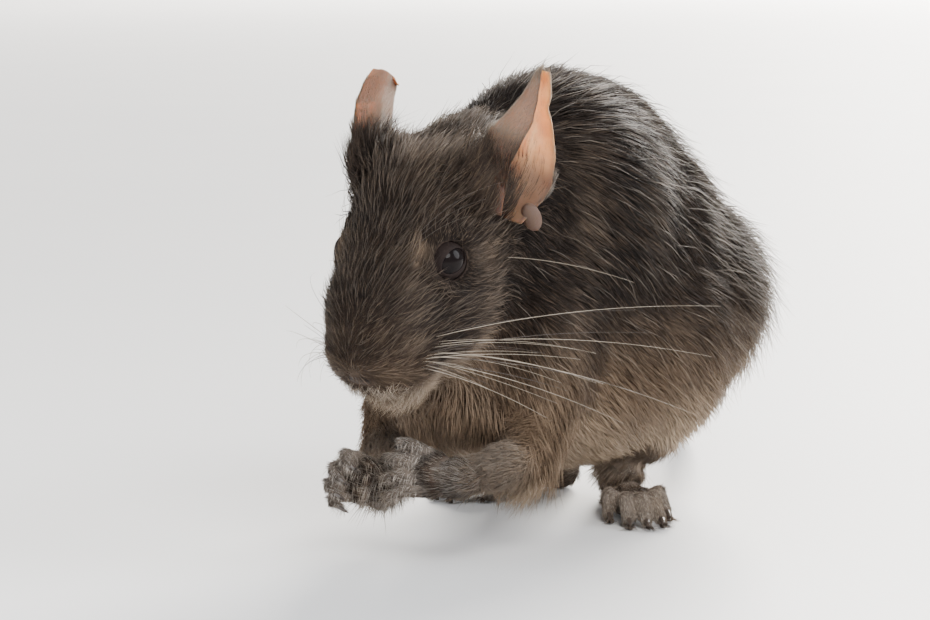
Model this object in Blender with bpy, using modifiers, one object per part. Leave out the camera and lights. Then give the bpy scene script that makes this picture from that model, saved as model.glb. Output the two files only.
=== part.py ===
"""A degu, life size, as a still museum model: hunched on its hind feet with both hands held up to the mouth.

The flesh is blended from rounded masses, then parted along the lines where a person would name its parts.
Sizes are in millimetres in each frame's own (forward, left, up) order. The degu faces -Y, its left is +X and
the floor is at z = 0. The solids reach out to the tips of the short coat.
"""

import math
import random

import bmesh
import bpy
import numpy as np
from mathutils import Matrix, Vector
from mathutils.bvhtree import BVHTree

MM = 0.001
GAP = 0.3 * MM
SIDES = {"left": 1, "right": -1}

# Driving sizes of the animal
BACK_HEIGHT = 92.0
NOSE_TIP = (74.8, 0.0, 37.4)
HEAD_PITCH = 40.0
EAR_HEIGHT = 23.5
EAR_THICKNESS = 0.9
EYE_RADIUS = 3.9
FOOT_SPLAY = {"left": 44.0, "right": 27.0}
HEEL = {"left": (-12.5, 3.8), "right": (-17.0, -10.0)}
TAIL_ROOT_RADIUS = 5.0
TAIL_END_RADIUS = 2.3

# Fineness of the blended flesh and the triangles that each piece keeps
BODY_VOXEL = 1.0
HEAD_VOXEL = 0.6
PAW_VOXEL = 0.33
BODY_TRIANGLES = 3000
HEAD_TRIANGLES = 2500
HAND_TRIANGLES = 500
FOOT_TRIANGLES = 540
LIMB_TRIANGLES = 180
FEWEST_FACES = 20


def clear_scene():
    for obj in list(bpy.data.objects):
        bpy.data.objects.remove(obj, do_unlink=True)


def new_collection(name):
    made = bpy.data.collections.new(name)
    bpy.context.scene.collection.children.link(made)
    return made


def frame_at(origin, forward, up):
    """A frame whose axes are forward, left and up, as a matrix from its own metres to the world's."""
    ahead = Vector(forward).normalized()
    left = Vector(up).cross(ahead).normalized()
    above = ahead.cross(left)
    turn = Matrix((ahead, left, above)).transposed().to_4x4()
    return Matrix.Translation(origin) @ turn


def place(frame, point):
    """The world place of a point given in millimetres in a frame."""
    return frame @ (Vector(point) * MM)


def aim(frame, direction):
    """The world direction of a direction given in a frame."""
    return frame.to_3x3() @ Vector(direction)


def pitched(angle):
    """Forward and up in the body's frame, after nodding down by an angle in degrees."""
    turn = math.radians(angle)
    return (math.cos(turn), 0.0, -math.sin(turn)), (math.sin(turn), 0.0, math.cos(turn))


# Solid modelling

def object_of(name, bm, collection):
    mesh = bpy.data.meshes.new(name)
    bm.to_mesh(mesh)
    bm.free()
    obj = bpy.data.objects.new(name, mesh)
    collection.objects.link(obj)
    return obj


def settle(obj):
    """Applies the object's modifiers to its mesh."""
    graph = bpy.context.evaluated_depsgraph_get()
    mesh = bpy.data.meshes.new_from_object(obj.evaluated_get(graph), depsgraph=graph)
    obj.modifiers.clear()
    old = obj.data
    obj.data = mesh
    bpy.data.meshes.remove(old)


def add_mass(bm, frame, centre, radii, tilt=0.0, fineness=3):
    """A rounded mass: an ellipsoid, nose down by tilt degrees."""
    matrix = frame @ Matrix.Translation(Vector(centre) * MM)
    matrix = matrix @ Matrix.Rotation(math.radians(tilt), 4, "Y")
    matrix = matrix @ Matrix.Diagonal((*[r * MM for r in radii], 1.0))
    bmesh.ops.create_icosphere(bm, subdivisions=fineness, radius=1.0, matrix=matrix)


def add_masses(bm, frame, masses):
    """Masses as (centre, radii, tilt). One that is off the middle plane has a twin on the other side."""
    for centre, radii, tilt in masses:
        add_mass(bm, frame, centre, radii, tilt)
        if centre[1]:
            add_mass(bm, frame, (centre[0], -centre[1], centre[2]), radii, tilt)


def add_limb(bm, frame, joints):
    """A round limb through joints, each (point, radius), as a close row of balls."""
    for (start, first), (end, last) in zip(joints, joints[1:]):
        start, end = Vector(start), Vector(end)
        steps = max(2, math.ceil((end - start).length / (0.3 * min(first, last))))
        for i in range(steps + 1):
            share = i / steps
            radius = first + (last - first) * share
            matrix = frame @ Matrix.Translation(start.lerp(end, share) * MM)
            bmesh.ops.create_icosphere(bm, subdivisions=2, radius=radius * MM, matrix=matrix)


def blend(obj, voxel, rounds, triangles):
    """Melts overlapping masses into one smooth skin of about that many triangles."""
    remesh = obj.modifiers.new("Blend", "REMESH")
    remesh.mode = "VOXEL"
    remesh.voxel_size = voxel * MM
    smooth = obj.modifiers.new("Soften", "SMOOTH")
    smooth.factor = 0.5
    smooth.iterations = rounds
    settle(obj)
    thin_to(obj, triangles)


def thin_to(obj, triangles):
    found = sum(len(p.vertices) - 2 for p in obj.data.polygons)
    thin = obj.modifiers.new("Thin", "DECIMATE")
    thin.ratio = min(1.0, triangles / found)
    thin.use_collapse_triangulate = True
    settle(obj)


def keep_largest(obj):
    """Keeps the largest closed surface, which drops loose scraps and sealed hollows."""
    bm = bmesh.new()
    bm.from_mesh(obj.data)
    bm.faces.ensure_lookup_table()
    left_over = set(bm.faces)
    shells = []
    while left_over:
        shell = {left_over.pop()}
        edge_of_shell = list(shell)
        while edge_of_shell:
            face = edge_of_shell.pop()
            for edge in face.edges:
                for other in edge.link_faces:
                    if other in left_over:
                        left_over.remove(other)
                        shell.add(other)
                        edge_of_shell.append(other)
        shells.append(shell)
    largest = max(shells, key=lambda shell: sum(face.calc_area() for face in shell))
    spare = [face for face in bm.faces if face not in largest]
    bmesh.ops.delete(bm, geom=spare, context="FACES")
    bm.to_mesh(obj.data)
    bm.free()


def combine(obj, other, operation):
    """Cuts, joins or intersects an object with another, which stays.

    The second solver is for a lost result."""
    whole = obj.data.copy()
    for solver in ("EXACT", "MANIFOLD"):
        obj.data = whole.copy()
        change = obj.modifiers.new("Combine", "BOOLEAN")
        change.operation = operation
        change.solver = solver
        change.object = other
        settle(obj)
        keep_largest(obj)
        if len(obj.data.polygons) > FEWEST_FACES:
            break
    bpy.data.meshes.remove(whole)


def join_all(obj, pieces):
    """Fuses closed pieces into an object by one union, and removes them."""
    group = bpy.data.collections.new(obj.name + "_pieces")
    for piece in pieces:
        group.objects.link(piece)
    change = obj.modifiers.new("Join", "BOOLEAN")
    change.operation = "UNION"
    change.solver = "EXACT"
    change.operand_type = "COLLECTION"
    change.collection = group
    settle(obj)
    for piece in pieces:
        bpy.data.objects.remove(piece, do_unlink=True)
    bpy.data.collections.remove(group)
    keep_largest(obj)


def swollen(obj, by, collection):
    """A copy of an object grown outwards by a distance."""
    copy = bpy.data.objects.new(obj.name + "_grown", obj.data.copy())
    collection.objects.link(copy)
    normals = [v.normal.copy() for v in copy.data.vertices]
    for vertex, normal in zip(copy.data.vertices, normals):
        vertex.co += normal * by
    return copy


def seat(obj, neighbour, helpers):
    """Cuts an object back from a neighbour, so that they meet face to face with the usual gap."""
    cutter = swollen(neighbour, GAP, helpers)
    combine(obj, cutter, "DIFFERENCE")
    bpy.data.objects.remove(cutter, do_unlink=True)


def keep_side(obj, point, normal):
    """Cuts an object by a plane and keeps the side that the normal points to."""
    bm = bmesh.new()
    bm.from_mesh(obj.data)
    everything = bm.verts[:] + bm.edges[:] + bm.faces[:]
    bmesh.ops.bisect_plane(
        bm, geom=everything, plane_co=point, plane_no=normal, clear_inner=True, dist=1e-8
    )
    open_edges = [edge for edge in bm.edges if len(edge.link_faces) == 1]
    bmesh.ops.holes_fill(bm, edges=open_edges, sides=0)
    bmesh.ops.triangulate(bm, faces=[f for f in bm.faces if len(f.verts) > 3])
    bmesh.ops.recalc_face_normals(bm, faces=bm.faces[:])
    bm.to_mesh(obj.data)
    bm.free()


def copy_of(obj, name, collection):
    copy = bpy.data.objects.new(name, obj.data.copy())
    collection.objects.link(copy)
    return copy


def split_off(whole, name, frame, centre, radii, tilt, parts, helpers):
    """Parts what lies inside an ellipsoid from a body, and leaves the usual gap between the two."""
    cutters = []
    for change in (-GAP / 2, GAP / 2):
        bm = bmesh.new()
        grown = [r + change / MM for r in radii]
        add_mass(bm, frame, centre, grown, tilt, fineness=2)
        cutters.append(object_of("region", bm, helpers))
    piece = copy_of(whole, name, parts)
    combine(piece, cutters[0], "INTERSECT")
    combine(whole, cutters[1], "DIFFERENCE")
    for cutter in cutters:
        bpy.data.objects.remove(cutter, do_unlink=True)
    return piece


def surface_of(obj):
    bm = bmesh.new()
    bm.from_mesh(obj.data)
    tree = BVHTree.FromBMesh(bm)
    bm.free()
    return tree


def tube(name, points, radii, collection, resolution=2):
    """A round tube through world points, with a radius for each, as a closed mesh."""
    curve = bpy.data.curves.new(name, "CURVE")
    curve.dimensions = "3D"
    curve.bevel_depth = 1.0
    curve.bevel_resolution = resolution
    curve.use_fill_caps = True
    spline = curve.splines.new("POLY")
    spline.points.add(len(points) - 1)
    for spot, point, radius in zip(spline.points, points, radii):
        spot.co = (*point, 1.0)
        spot.radius = radius
    drawn = bpy.data.objects.new(name + "_line", curve)
    collection.objects.link(drawn)
    graph = bpy.context.evaluated_depsgraph_get()
    mesh = bpy.data.meshes.new_from_object(drawn.evaluated_get(graph), depsgraph=graph)
    bpy.data.objects.remove(drawn, do_unlink=True)
    bm = bmesh.new()
    bm.from_mesh(mesh)
    bpy.data.meshes.remove(mesh)
    bmesh.ops.remove_doubles(bm, verts=bm.verts[:], dist=1e-6)
    bmesh.ops.recalc_face_normals(bm, faces=bm.faces[:])
    return object_of(name, bm, collection)


def smooth_path(points, steps):
    """Points on a smooth curve through the given ones (Catmull-Rom), with steps between each two."""
    given = [Vector(p) for p in points]
    given = [2 * given[0] - given[1], *given, 2 * given[-1] - given[-2]]
    path = []
    for a, b, c, d in zip(given, given[1:], given[2:], given[3:]):
        for i in range(steps):
            t = i / steps
            square, cube = 2 * a - 5 * b + 4 * c - d, 3 * b - a - 3 * c + d
            path.append(0.5 * (2 * b + (c - a) * t + square * t**2 + cube * t**3))
    path.append(given[-2])
    return path


# The trunk: torso, neck, thighs and upper arms

SPINE = ((-4, 0, BACK_HEIGHT - 41.5), (40, 21, 42), 0)
TRUNK_MASSES = [
    SPINE,
    ((7, 0, BACK_HEIGHT - 35), (33, 28, 37), 0),
    ((-12, 0, 50), (31, 28, 33), 0),
    ((-25, 0, 43), (30, 30.5, 27), 0),
    ((2, 0, 33), (35, 28, 25), 0),
    ((25, 0, 44), (25, 23, 32), 0),
    ((31, 0, 64), (22, 19, 22), 0),
    ((37, 0, 36), (18, 17, 20), 0),
    ((30, 15, 42), (15, 11, 20), 0),
    ((-9, 20, 38), (23, 13, 19), -15),
    ((-43, 0, 32), (12, 10, 10), 0),
]
UPPER_ARM = [((32, 17, 40), 10.0), ((41, 17, 20), 6.6)]
LOWER_HAUNCH = [((-9, 20, 27), 12.0), ((-8, 15, 15), 7.5)]
NECK_MASSES = [
    ((40, 0, 63), (17, 15, 19), 0),
    ((37, 0, 67), (17, 16.5, 18.5), 0),
]


def add_trunk(bm, body, head):
    add_masses(bm, body, TRUNK_MASSES + NECK_MASSES)
    add_masses(bm, head, HEAD_MASSES)
    for side in SIDES.values():
        for limb in (UPPER_ARM, LOWER_HAUNCH):
            add_limb(bm, body, [((f, left * side, u), radius) for (f, left, u), radius in limb])


# The head, in its own frame with the nose tip at its origin

HEAD_MASSES = [
    ((-37, 0, 3.5), (18, 16.8, 17.0), 0),
    ((-27, 0, 3.0), (16, 14.0, 14.0), 0),
    ((-18, 0, 2.2), (15, 12.4, 12.2), 0),
    ((-8, 0, -0.6), (7.9, 9.6, 8.4), 0),
    ((-13, 6.0, -2.8), (10.5, 7.2, 7.2), 0),
    ((-27, 8.6, -5), (15, 8.6, 12), 0),
    ((-12, 0, -10.5), (8.5, 9.0, 5.6), 0),
    ((-34, 0, -9), (17, 13.5, 13), 0),
    ((-24, 0, -13), (13, 11, 9), 0),
    ((-5.8, 3.0, -5.8), (4.6, 3.8, 3.4), 0),
    ((-43, 11.0, 3), (8, 4.4, 5.4), 0),
    ((-41, 7.5, 14.5), (9, 7.0, 5.6), 0),
]
EYE_CENTRE = (-25.2, 10.6, 6.6)
EYE_AXIS = (0.22, 0.93, 0.28)
LID_OFFSET = 1.8
LID_THICKNESS = 0.7
MOUTH_LINE = [(-12.5, 6.2, -8.6), (-9.0, 4.6, -8.9), (-6.2, 2.2, -8.8), (-5.6, 0.0, -8.3)]
MOUTH_RADIUS = 0.55
PHILTRUM = [(-5.6, 0.0, -8.5), (-2.6, 0.0, -6.4), (-1.0, 0.0, -3.6)]
NOSTRIL = (-0.9, 2.1, -1.4)
NOSTRIL_RADII = (1.4, 0.75, 0.8)


def add_head(bm, head, body):
    add_masses(bm, head, HEAD_MASSES)
    add_masses(bm, body, NECK_MASSES)
    add_masses(bm, body, [m for m in TRUNK_MASSES if m[0][0] > 20])


def eye_ball(name, head, side, radius, collection, segments):
    centre = (EYE_CENTRE[0], EYE_CENTRE[1] * side, EYE_CENTRE[2])
    axis = aim(head, (EYE_AXIS[0], EYE_AXIS[1] * side, EYE_AXIS[2])).normalized()
    turn = axis.to_track_quat("Z", "Y").to_matrix().to_4x4()
    bm = bmesh.new()
    matrix = Matrix.Translation(place(head, centre)) @ turn
    bmesh.ops.create_uvsphere(
        bm, u_segments=segments, v_segments=segments // 2, radius=radius * MM, matrix=matrix
    )
    return object_of(name, bm, collection), matrix


def lid_ring(matrix, helpers):
    """The two lids as one soft ring around the eye."""
    ring_radius = math.sqrt(EYE_RADIUS**2 - LID_OFFSET**2) + 0.25
    bpy.ops.mesh.primitive_torus_add(
        major_radius=ring_radius * MM,
        minor_radius=LID_THICKNESS * MM,
        major_segments=22,
        minor_segments=8,
    )
    ring = bpy.context.active_object
    ring.data.transform(matrix @ Matrix.Translation((0, 0, LID_OFFSET * MM)))
    for holder in list(ring.users_collection):
        holder.objects.unlink(ring)
    helpers.objects.link(ring)
    return ring


def groove(name, head, points, skin, helpers):
    """A tube laid along the skin under points given in the head's frame, to cut a line into it."""
    path = [skin.find_nearest(place(head, p))[0] for p in smooth_path(points, 3)]
    radii = [MOUTH_RADIUS * MM] * len(path)
    radii[0] = radii[-1] = 0.4 * MOUTH_RADIUS * MM
    return tube(name, path, radii, helpers, resolution=1)


# Whisker pads

PAD_CENTRE = (-10.5, 10.0, -3.0)
PAD_RADII = (6.8, 4.6, 4.3)
WHISKER_ROWS, WHISKER_COLUMNS = 3, 3
WHISKER_RADIUS, WHISKER_TIP_RADIUS = 0.42, 0.16
WHISKER_SUNK = 2.0
WHISKER_STEPS = 7


def whisker_layout(side):
    """Each whisker's root on the head, its direction in the body's frame, its length and its droop."""
    for row in range(WHISKER_ROWS):
        for column in range(WHISKER_COLUMNS):
            root = (-7.2 - 2.8 * column + 0.6 * row, 13.5 * side, -1.0 - 1.9 * row)
            way = Vector((-0.42 - 0.12 * column, side, 0.2 - 0.2 * row + 0.05 * column)).normalized()
            yield root, way, 29.0 + 12.0 * column - 3.0 * row, 0.17 + 0.03 * row


def whisker_pad(name, head, body, side, skin, parts, helpers):
    """The bulge of the muzzle that carries the whiskers of one side, with its stiff whiskers."""
    centre = (PAD_CENTRE[0], PAD_CENTRE[1] * side, PAD_CENTRE[2])
    pad = split_off(skin, name, head, centre, PAD_RADII, 0, parts, helpers)
    outside = surface_of(pad)
    whiskers = []
    for root, way, length, droop in whisker_layout(side):
        start = outside.find_nearest(place(head, root))[0]
        path, radii = [], []
        for i in range(WHISKER_STEPS + 1):
            share = i / WHISKER_STEPS
            bow = share**2 * length
            spot = way * (share * (length + WHISKER_SUNK) - WHISKER_SUNK)
            spot += Vector((-0.22, -0.09 * side, -droop)) * bow
            path.append(start + aim(body, spot) * MM)
            radii.append((WHISKER_RADIUS + (WHISKER_TIP_RADIUS - WHISKER_RADIUS) * share) * MM)
        whiskers.append(tube("whisker", path, radii, helpers, resolution=0))
    join_all(pad, whiskers)
    keep_largest(pad)
    return pad


def carve_face(obj, head, helpers):
    """The line of the mouth, the split of the upper lip and the nostrils."""
    skin = surface_of(obj)
    whole_mouth = MOUTH_LINE + [(f, -left, u) for f, left, u in reversed(MOUTH_LINE[:-1])]
    cutters = [groove("mouth", head, whole_mouth, skin, helpers)]
    cutters.append(groove("philtrum", head, PHILTRUM, skin, helpers))
    for side in SIDES.values():
        spot, outward = skin.find_nearest(place(head, (NOSTRIL[0], NOSTRIL[1] * side, NOSTRIL[2])))[:2]
        bm = bmesh.new()
        matrix = frame_at(spot, outward, aim(head, (0, 0, 1)))
        add_mass(bm, matrix, (0, 0, 0), NOSTRIL_RADII)
        cutters.append(object_of("nostril", bm, helpers))
    for cutter in cutters:
        combine(obj, cutter, "DIFFERENCE")
        bpy.data.objects.remove(cutter, do_unlink=True)


# Ears

EAR_ROOTS = {1: (-44.5, 15.0, 8.0), -1: (-44.5, -13.0, 9.5)}
EAR_UP = (-0.36, 0.22, 1.0)
EAR_FACING = (0.36, 0.95, 0.0)
EAR_CUP = 5.0
EAR_SUNK = 6.0
EAR_LEAN = 2.5
EAR_ROLL = 100.0
EAR_ROWS, EAR_COLUMNS = 9, 8
LOBE = (-42.4, 19.4, 1.8)
LOBE_RADII = (2.0, 1.7, 3.2)
CROP_HEIGHT, CROP_SLOPE = 19.5, 0.6
# Shares of the ear's height, then the rear edge, the front fold and the flap beyond it at those heights
EAR_LEVELS = (0.0, 0.2, 0.3, 0.48, 0.6, 0.75, 0.87, 0.95, 1.0)
EAR_REAR = (4.6, 7.4, 7.9, 6.8, 5.2, 3.1, 2.0, 1.2, 0.4)
EAR_FRONT = (5.5, 8.4, 9.0, 8.3, 5.9, 3.4, 1.9, 1.2, 0.4)
EAR_FLAP = (3.0, 4.0, 4.4, 4.2, 3.2, 1.8, 0.9, 0.4, 0.1)
EAR_FOLD = (1.6, 1.8, 1.9, 1.8, 1.5, 1.2, 1.0, 0.8, 0.5)
EAR_FINE_STEPS = 60
# The right ear has lost its tip, so its widths stay nearer those of its middle up to the cut
CROPPED_SPREAD = 0.8
CROPPED_FLAP, CROPPED_FOLD = 3.0, 1.5


def ear_line(height, side):
    """The ear's cross-section at a share of its height, from the rear rim to the front one.

    Its places are forward and outward of the middle line. The front rim rolls outwards into a flap."""
    level = height if side > 0 else CROPPED_SPREAD * height
    rear, front, flap, fold = (
        float(np.interp(level, EAR_LEVELS, row)) for row in (EAR_REAR, EAR_FRONT, EAR_FLAP, EAR_FOLD)
    )
    if side < 0:
        flap, fold = min(flap, CROPPED_FLAP), min(fold, CROPPED_FOLD)
    flat = max(rear + front - fold, 0.3)
    length = flat + fold * math.radians(EAR_ROLL) + flap
    step = length / EAR_FINE_STEPS
    spots = [(-rear, 0.0)]
    for i in range(EAR_FINE_STEPS):
        turn = min(1.0, max(0.0, (step * (i + 0.5) - flat) / (fold * math.radians(EAR_ROLL))))
        turn = turn * math.radians(EAR_ROLL)
        across, out = spots[-1]
        spots.append((across + step * math.cos(turn), out + step * math.sin(turn)))
    line = []
    for column in range(EAR_COLUMNS + 1):
        across, out = spots[round(EAR_FINE_STEPS * (column / EAR_COLUMNS) ** 0.85)]
        cup = EAR_CUP * (1 - 0.62 * height) * (min(across, 0.0) / rear) ** 2
        line.append((across, out + cup - EAR_LEAN * height**2))
    return line


def ear_shell(name, body, head, side, collection):
    """The pinna as a curved sheet, rolled at the front, and thickened."""
    up = Vector((EAR_UP[0], EAR_UP[1] * side, EAR_UP[2]))
    facing = Vector((EAR_FACING[0], EAR_FACING[1] * side, EAR_FACING[2]))
    root = place(head, EAR_ROOTS[side])
    ear = frame_at(root, aim(body, up), aim(body, facing))
    bm = bmesh.new()
    grid = []
    for row in range(EAR_ROWS + 1):
        height = 0.985 * row / EAR_ROWS
        rise = height * (EAR_HEIGHT + EAR_SUNK) - EAR_SUNK
        line = ear_line(height, side)
        grid.append([bm.verts.new(place(ear, (rise, side * across, out))) for across, out in line])
    for low, high in zip(grid, grid[1:]):
        for a, b, c, d in zip(low, low[1:], high[1:], high):
            bm.faces.new((a, b, c, d))
    bmesh.ops.triangulate(bm, faces=bm.faces[:])
    obj = object_of(name, bm, collection)
    if side < 0:
        crop_ear(obj, ear)
    thick = obj.modifiers.new("Thickness", "SOLIDIFY")
    thick.thickness = EAR_THICKNESS * MM
    thick.offset = 0.0
    settle(obj)
    bm = bmesh.new()
    add_mass(bm, head, (LOBE[0], LOBE[1] * side, LOBE[2]), LOBE_RADII, fineness=2)
    join_all(obj, [object_of("lobe", bm, collection)])
    return obj


def crop_ear(obj, ear):
    """The right ear has lost its tip, along a slanting line."""
    bm = bmesh.new()
    bm.from_mesh(obj.data)
    bmesh.ops.bisect_plane(
        bm,
        geom=bm.verts[:] + bm.edges[:] + bm.faces[:],
        plane_co=place(ear, (CROP_HEIGHT, 0, 0)),
        plane_no=aim(ear, (1.0, 0.0, -CROP_SLOPE)),
        clear_outer=True,
        dist=1e-7,
    )
    bmesh.ops.triangulate(bm, faces=bm.faces[:])
    bm.to_mesh(obj.data)
    bm.free()


# Hands and feet

FINGER_SPREAD = (-3.9, -1.35, 1.3, 3.7)
FINGER_START = (5.8, 6.8, 6.7, 5.6)
FINGER_LENGTHS = (0.9, 1.0, 1.0, 0.86)
FINGER_BONES = (4.1, 3.4, 2.5)


def claw(name, frame, tip, angle, length, radius, collection):
    """A short curved claw that starts inside the tip of a digit and bends down."""
    steps = 3
    points = []
    radii = []
    spot = Vector(tip)
    for i in range(steps + 1):
        points.append(place(frame, spot))
        radii.append(radius * MM * (1 - i / steps) ** 0.7 + 0.08 * MM)
        turn = math.radians(angle + 12.0 * i)
        spot = spot + Vector((math.cos(turn), 0, -math.sin(turn))) * (length / steps)
    return tube(name, points, radii, collection, resolution=0)


def hand(name, frame, side, curls, parts, helpers):
    """A palm with four fingers, bent at each bone by the given curls, a stub of a thumb and claws."""
    bm = bmesh.new()
    add_mass(bm, frame, (3.8, 0, 0), (4.6, 4.6, 2.6))
    add_mass(bm, frame, (0.2, 0, 0), (3.6, 3.3, 2.9))
    claws = []
    for spread, start, size in zip(FINGER_SPREAD, FINGER_START, FINGER_LENGTHS):
        spread *= side
        spot = Vector((start - 3.0, spread * 0.8, 0.2))
        knuckle = Vector((start, spread, 0.2))
        joints = [(spot, 1.35), (knuckle, 1.4)]
        fan = math.radians(4.0 * spread)
        for bone, curl, radius in zip(FINGER_BONES, curls, (1.25, 1.12, 0.9)):
            turn = math.radians(curl)
            step = Vector((math.cos(turn), math.sin(fan) * math.cos(turn), -math.sin(turn)))
            knuckle = knuckle + step * bone * size
            joints.append((knuckle, radius))
        add_limb(bm, frame, joints)
        sunk = knuckle - step * 0.8
        claws.append(claw("claw", frame, sunk, curls[-1] - 14, 3.1, 0.62, helpers))
    thumb = [((2.4, -3.2 * side, -0.8), 1.1), ((4.6, -4.4 * side, -2.2), 0.9)]
    add_limb(bm, frame, thumb)
    obj = object_of(name, bm, parts)
    blend(obj, PAW_VOXEL, 4, HAND_TRIANGLES)
    join_all(obj, claws)
    return obj


TOE_SPREAD = (-4.6, -2.5, 0.0, 2.5, 4.5)
TOE_START = (16.5, 19.5, 20.0, 19.3, 16.0)
TOE_LENGTH = (6.6, 9.6, 10.6, 9.8, 6.8)


def foot(name, frame, side, parts, helpers):
    """A long sole on the floor with five toes and claws."""
    bm = bmesh.new()
    add_mass(bm, frame, (3.2, 0, 4.2), (5.2, 3.9, 4.6))
    add_limb(bm, frame, [((3, 0, 4.0), 3.6), ((11, 0, 3.6), 3.6), ((17, 0, 3.0), 3.4)])
    add_mass(bm, frame, (17.5, 0, 2.9), (5.4, 5.4, 3.3))
    claws = []
    for spread, start, length in zip(TOE_SPREAD, TOE_START, TOE_LENGTH):
        spread *= side
        root = Vector((start, spread, 2.9))
        arch = root + Vector((0.52 * length, 0.14 * spread, 2.0))
        end = root + Vector((length, 0.36 * spread, -1.4))
        add_limb(bm, frame, [(root, 2.0), (arch, 1.8), (end, 1.4)])
        claws.append(claw("claw", frame, end - Vector((0.8, 0, -0.4)), 8, 4.2, 0.78, helpers))
    obj = object_of(name, bm, parts)
    blend(obj, PAW_VOXEL, 4, FOOT_TRIANGLES)
    join_all(obj, claws)
    keep_side(obj, (0, 0, 0), (0, 0, 1))
    keep_largest(obj)
    return obj


# Tail

TAIL_ROUTE = [
    (-42, 0, 30),
    (-52, -2, 24.5),
    (-62, -6, 16.5),
    (-72, -12, 9),
    (-84, -21, 4.2),
    (-98, -33, 2.9),
    (-112, -45, 2.3),
    (-126, -54, 2.1),
    (-138, -59, 2.1),
]
TAIL_CUTS = (0.33, 0.62)
BRUSH_LOCKS = 22
BRUSH_LENGTH = 15.0
BRUSH_WIDTH = 2.6
BRUSH_THICKNESS = 1.1
BRUSH_SEED = 7


def lock(name, frame, length, width, thickness, bend, collection):
    """A flat tapered lock of hair along the frame's forward axis, bent upwards by a share of its length."""
    bm = bmesh.new()
    rings = []
    for along, size in ((0.0, 0.8), (0.4, 1.0), (0.75, 0.62), (1.0, 0.14)):
        rise = bend * length * along**2
        half, deep = 0.5 * width * size, 0.5 * thickness * size
        corners = ((0, half, rise), (0, 0, rise + deep), (0, -half, rise), (0, 0, rise - deep))
        rings.append([bm.verts.new(place(frame, (along * length, y, z))) for _, y, z in corners])
    for near, far in zip(rings, rings[1:]):
        for i in range(4):
            bm.faces.new((near[i], near[i - 3], far[i - 3], far[i]))
    bm.faces.new(rings[0])
    bm.faces.new(rings[-1])
    bmesh.ops.triangulate(bm, faces=bm.faces[:])
    bmesh.ops.recalc_face_normals(bm, faces=bm.faces[:])
    return object_of(name, bm, collection)


def brush(path, radii, collection):
    """Locks all round a length of the tail and off its end, longest at the end."""
    chance = random.Random(BRUSH_SEED)
    locks = []
    golden = math.pi * (3 - math.sqrt(5))
    for i in range(BRUSH_LOCKS):
        share = 0.12 + 0.86 * i / (BRUSH_LOCKS - 1)
        mark = min(len(path) - 2, int(share * (len(path) - 1)))
        along = (path[mark + 1] - path[mark]).normalized()
        out = Matrix.Rotation(i * golden, 3, along) @ along.orthogonal().normalized()
        if out.z < -0.3:
            out.z = -out.z
        spread = chance.uniform(0.2, 0.34) * (1 - 0.55 * share)
        spot = path[mark].lerp(path[mark + 1], share * (len(path) - 1) - mark) + out * radii[mark] * 0.3
        length = BRUSH_LENGTH * (0.7 + 0.3 * share) * chance.uniform(0.85, 1.1)
        width = BRUSH_WIDTH * chance.uniform(0.8, 1.1)
        frame = frame_at(spot, along + out * spread, out)
        locks.append(lock("lock", frame, length, width, BRUSH_THICKNESS, 0.04, collection))
    return locks


def tail_radius(share):
    return TAIL_END_RADIUS + (TAIL_ROOT_RADIUS - TAIL_END_RADIUS) * (1 - share) ** 1.3


def tail_lengths(body, torso, parts, helpers):
    path = [place(body, p) for p in smooth_path(TAIL_ROUTE, 3)]
    count = len(path) - 1
    radii = [tail_radius(i / count) * MM for i in range(count + 1)]
    whole = tube("tail", path, radii, helpers, resolution=2)
    keep_side(whole, (0, 0, 0), (0, 0, 1))
    seat(whole, torso, helpers)
    made = []
    marks = [round(share * count) for share in TAIL_CUTS]
    for name, low, high in (
        ("tail_base", None, marks[0]),
        ("tail_middle", marks[0], marks[1]),
        ("tail_tip", marks[1], None),
    ):
        piece = copy_of(whole, name, parts)
        if low is not None:
            along = (path[low + 1] - path[low - 1]).normalized()
            keep_side(piece, path[low] + along * GAP / 2, along)
        if high is not None:
            along = (path[high + 1] - path[high - 1]).normalized()
            keep_side(piece, path[high] - along * GAP / 2, -along)
        keep_largest(piece)
        made.append(piece)
    bpy.data.objects.remove(whole, do_unlink=True)
    tip = made[-1]
    join_all(tip, brush(path[marks[1] :], radii[marks[1] :], helpers))
    along = (path[marks[1] + 1] - path[marks[1] - 1]).normalized()
    keep_side(tip, path[marks[1]] + along * GAP / 2, along)
    keep_side(tip, (0, 0, 0), (0, 0, 1))
    keep_largest(tip)
    return made


# Colours and finishes

FINISHES = {
    "coat": ((0.105, 0.072, 0.05), 0.85),
    "pale_coat": ((0.42, 0.31, 0.21), 0.85),
    "paw": ((0.27, 0.23, 0.2), 0.75),
    "ear_skin": ((0.5, 0.26, 0.17), 0.6),
    "eye": ((0.008, 0.007, 0.009), 0.05),
    "tail_coat": ((0.05, 0.038, 0.03), 0.85),
}


def finish(obj, slot):
    colour, roughness = FINISHES[slot]
    material = bpy.data.materials.get(slot)
    if material is None:
        material = bpy.data.materials.new(slot)
        material.use_nodes = True
        shader = material.node_tree.nodes["Principled BSDF"]
        shader.inputs["Base Color"].default_value = (*colour, 1.0)
        shader.inputs["Roughness"].default_value = roughness
        shader.inputs["Metallic"].default_value = 0.0
        material.diffuse_color = (*colour, 1.0)
    obj.data.materials.clear()
    obj.data.materials.append(material)
    obj.data.shade_smooth()


# Assembly

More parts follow.
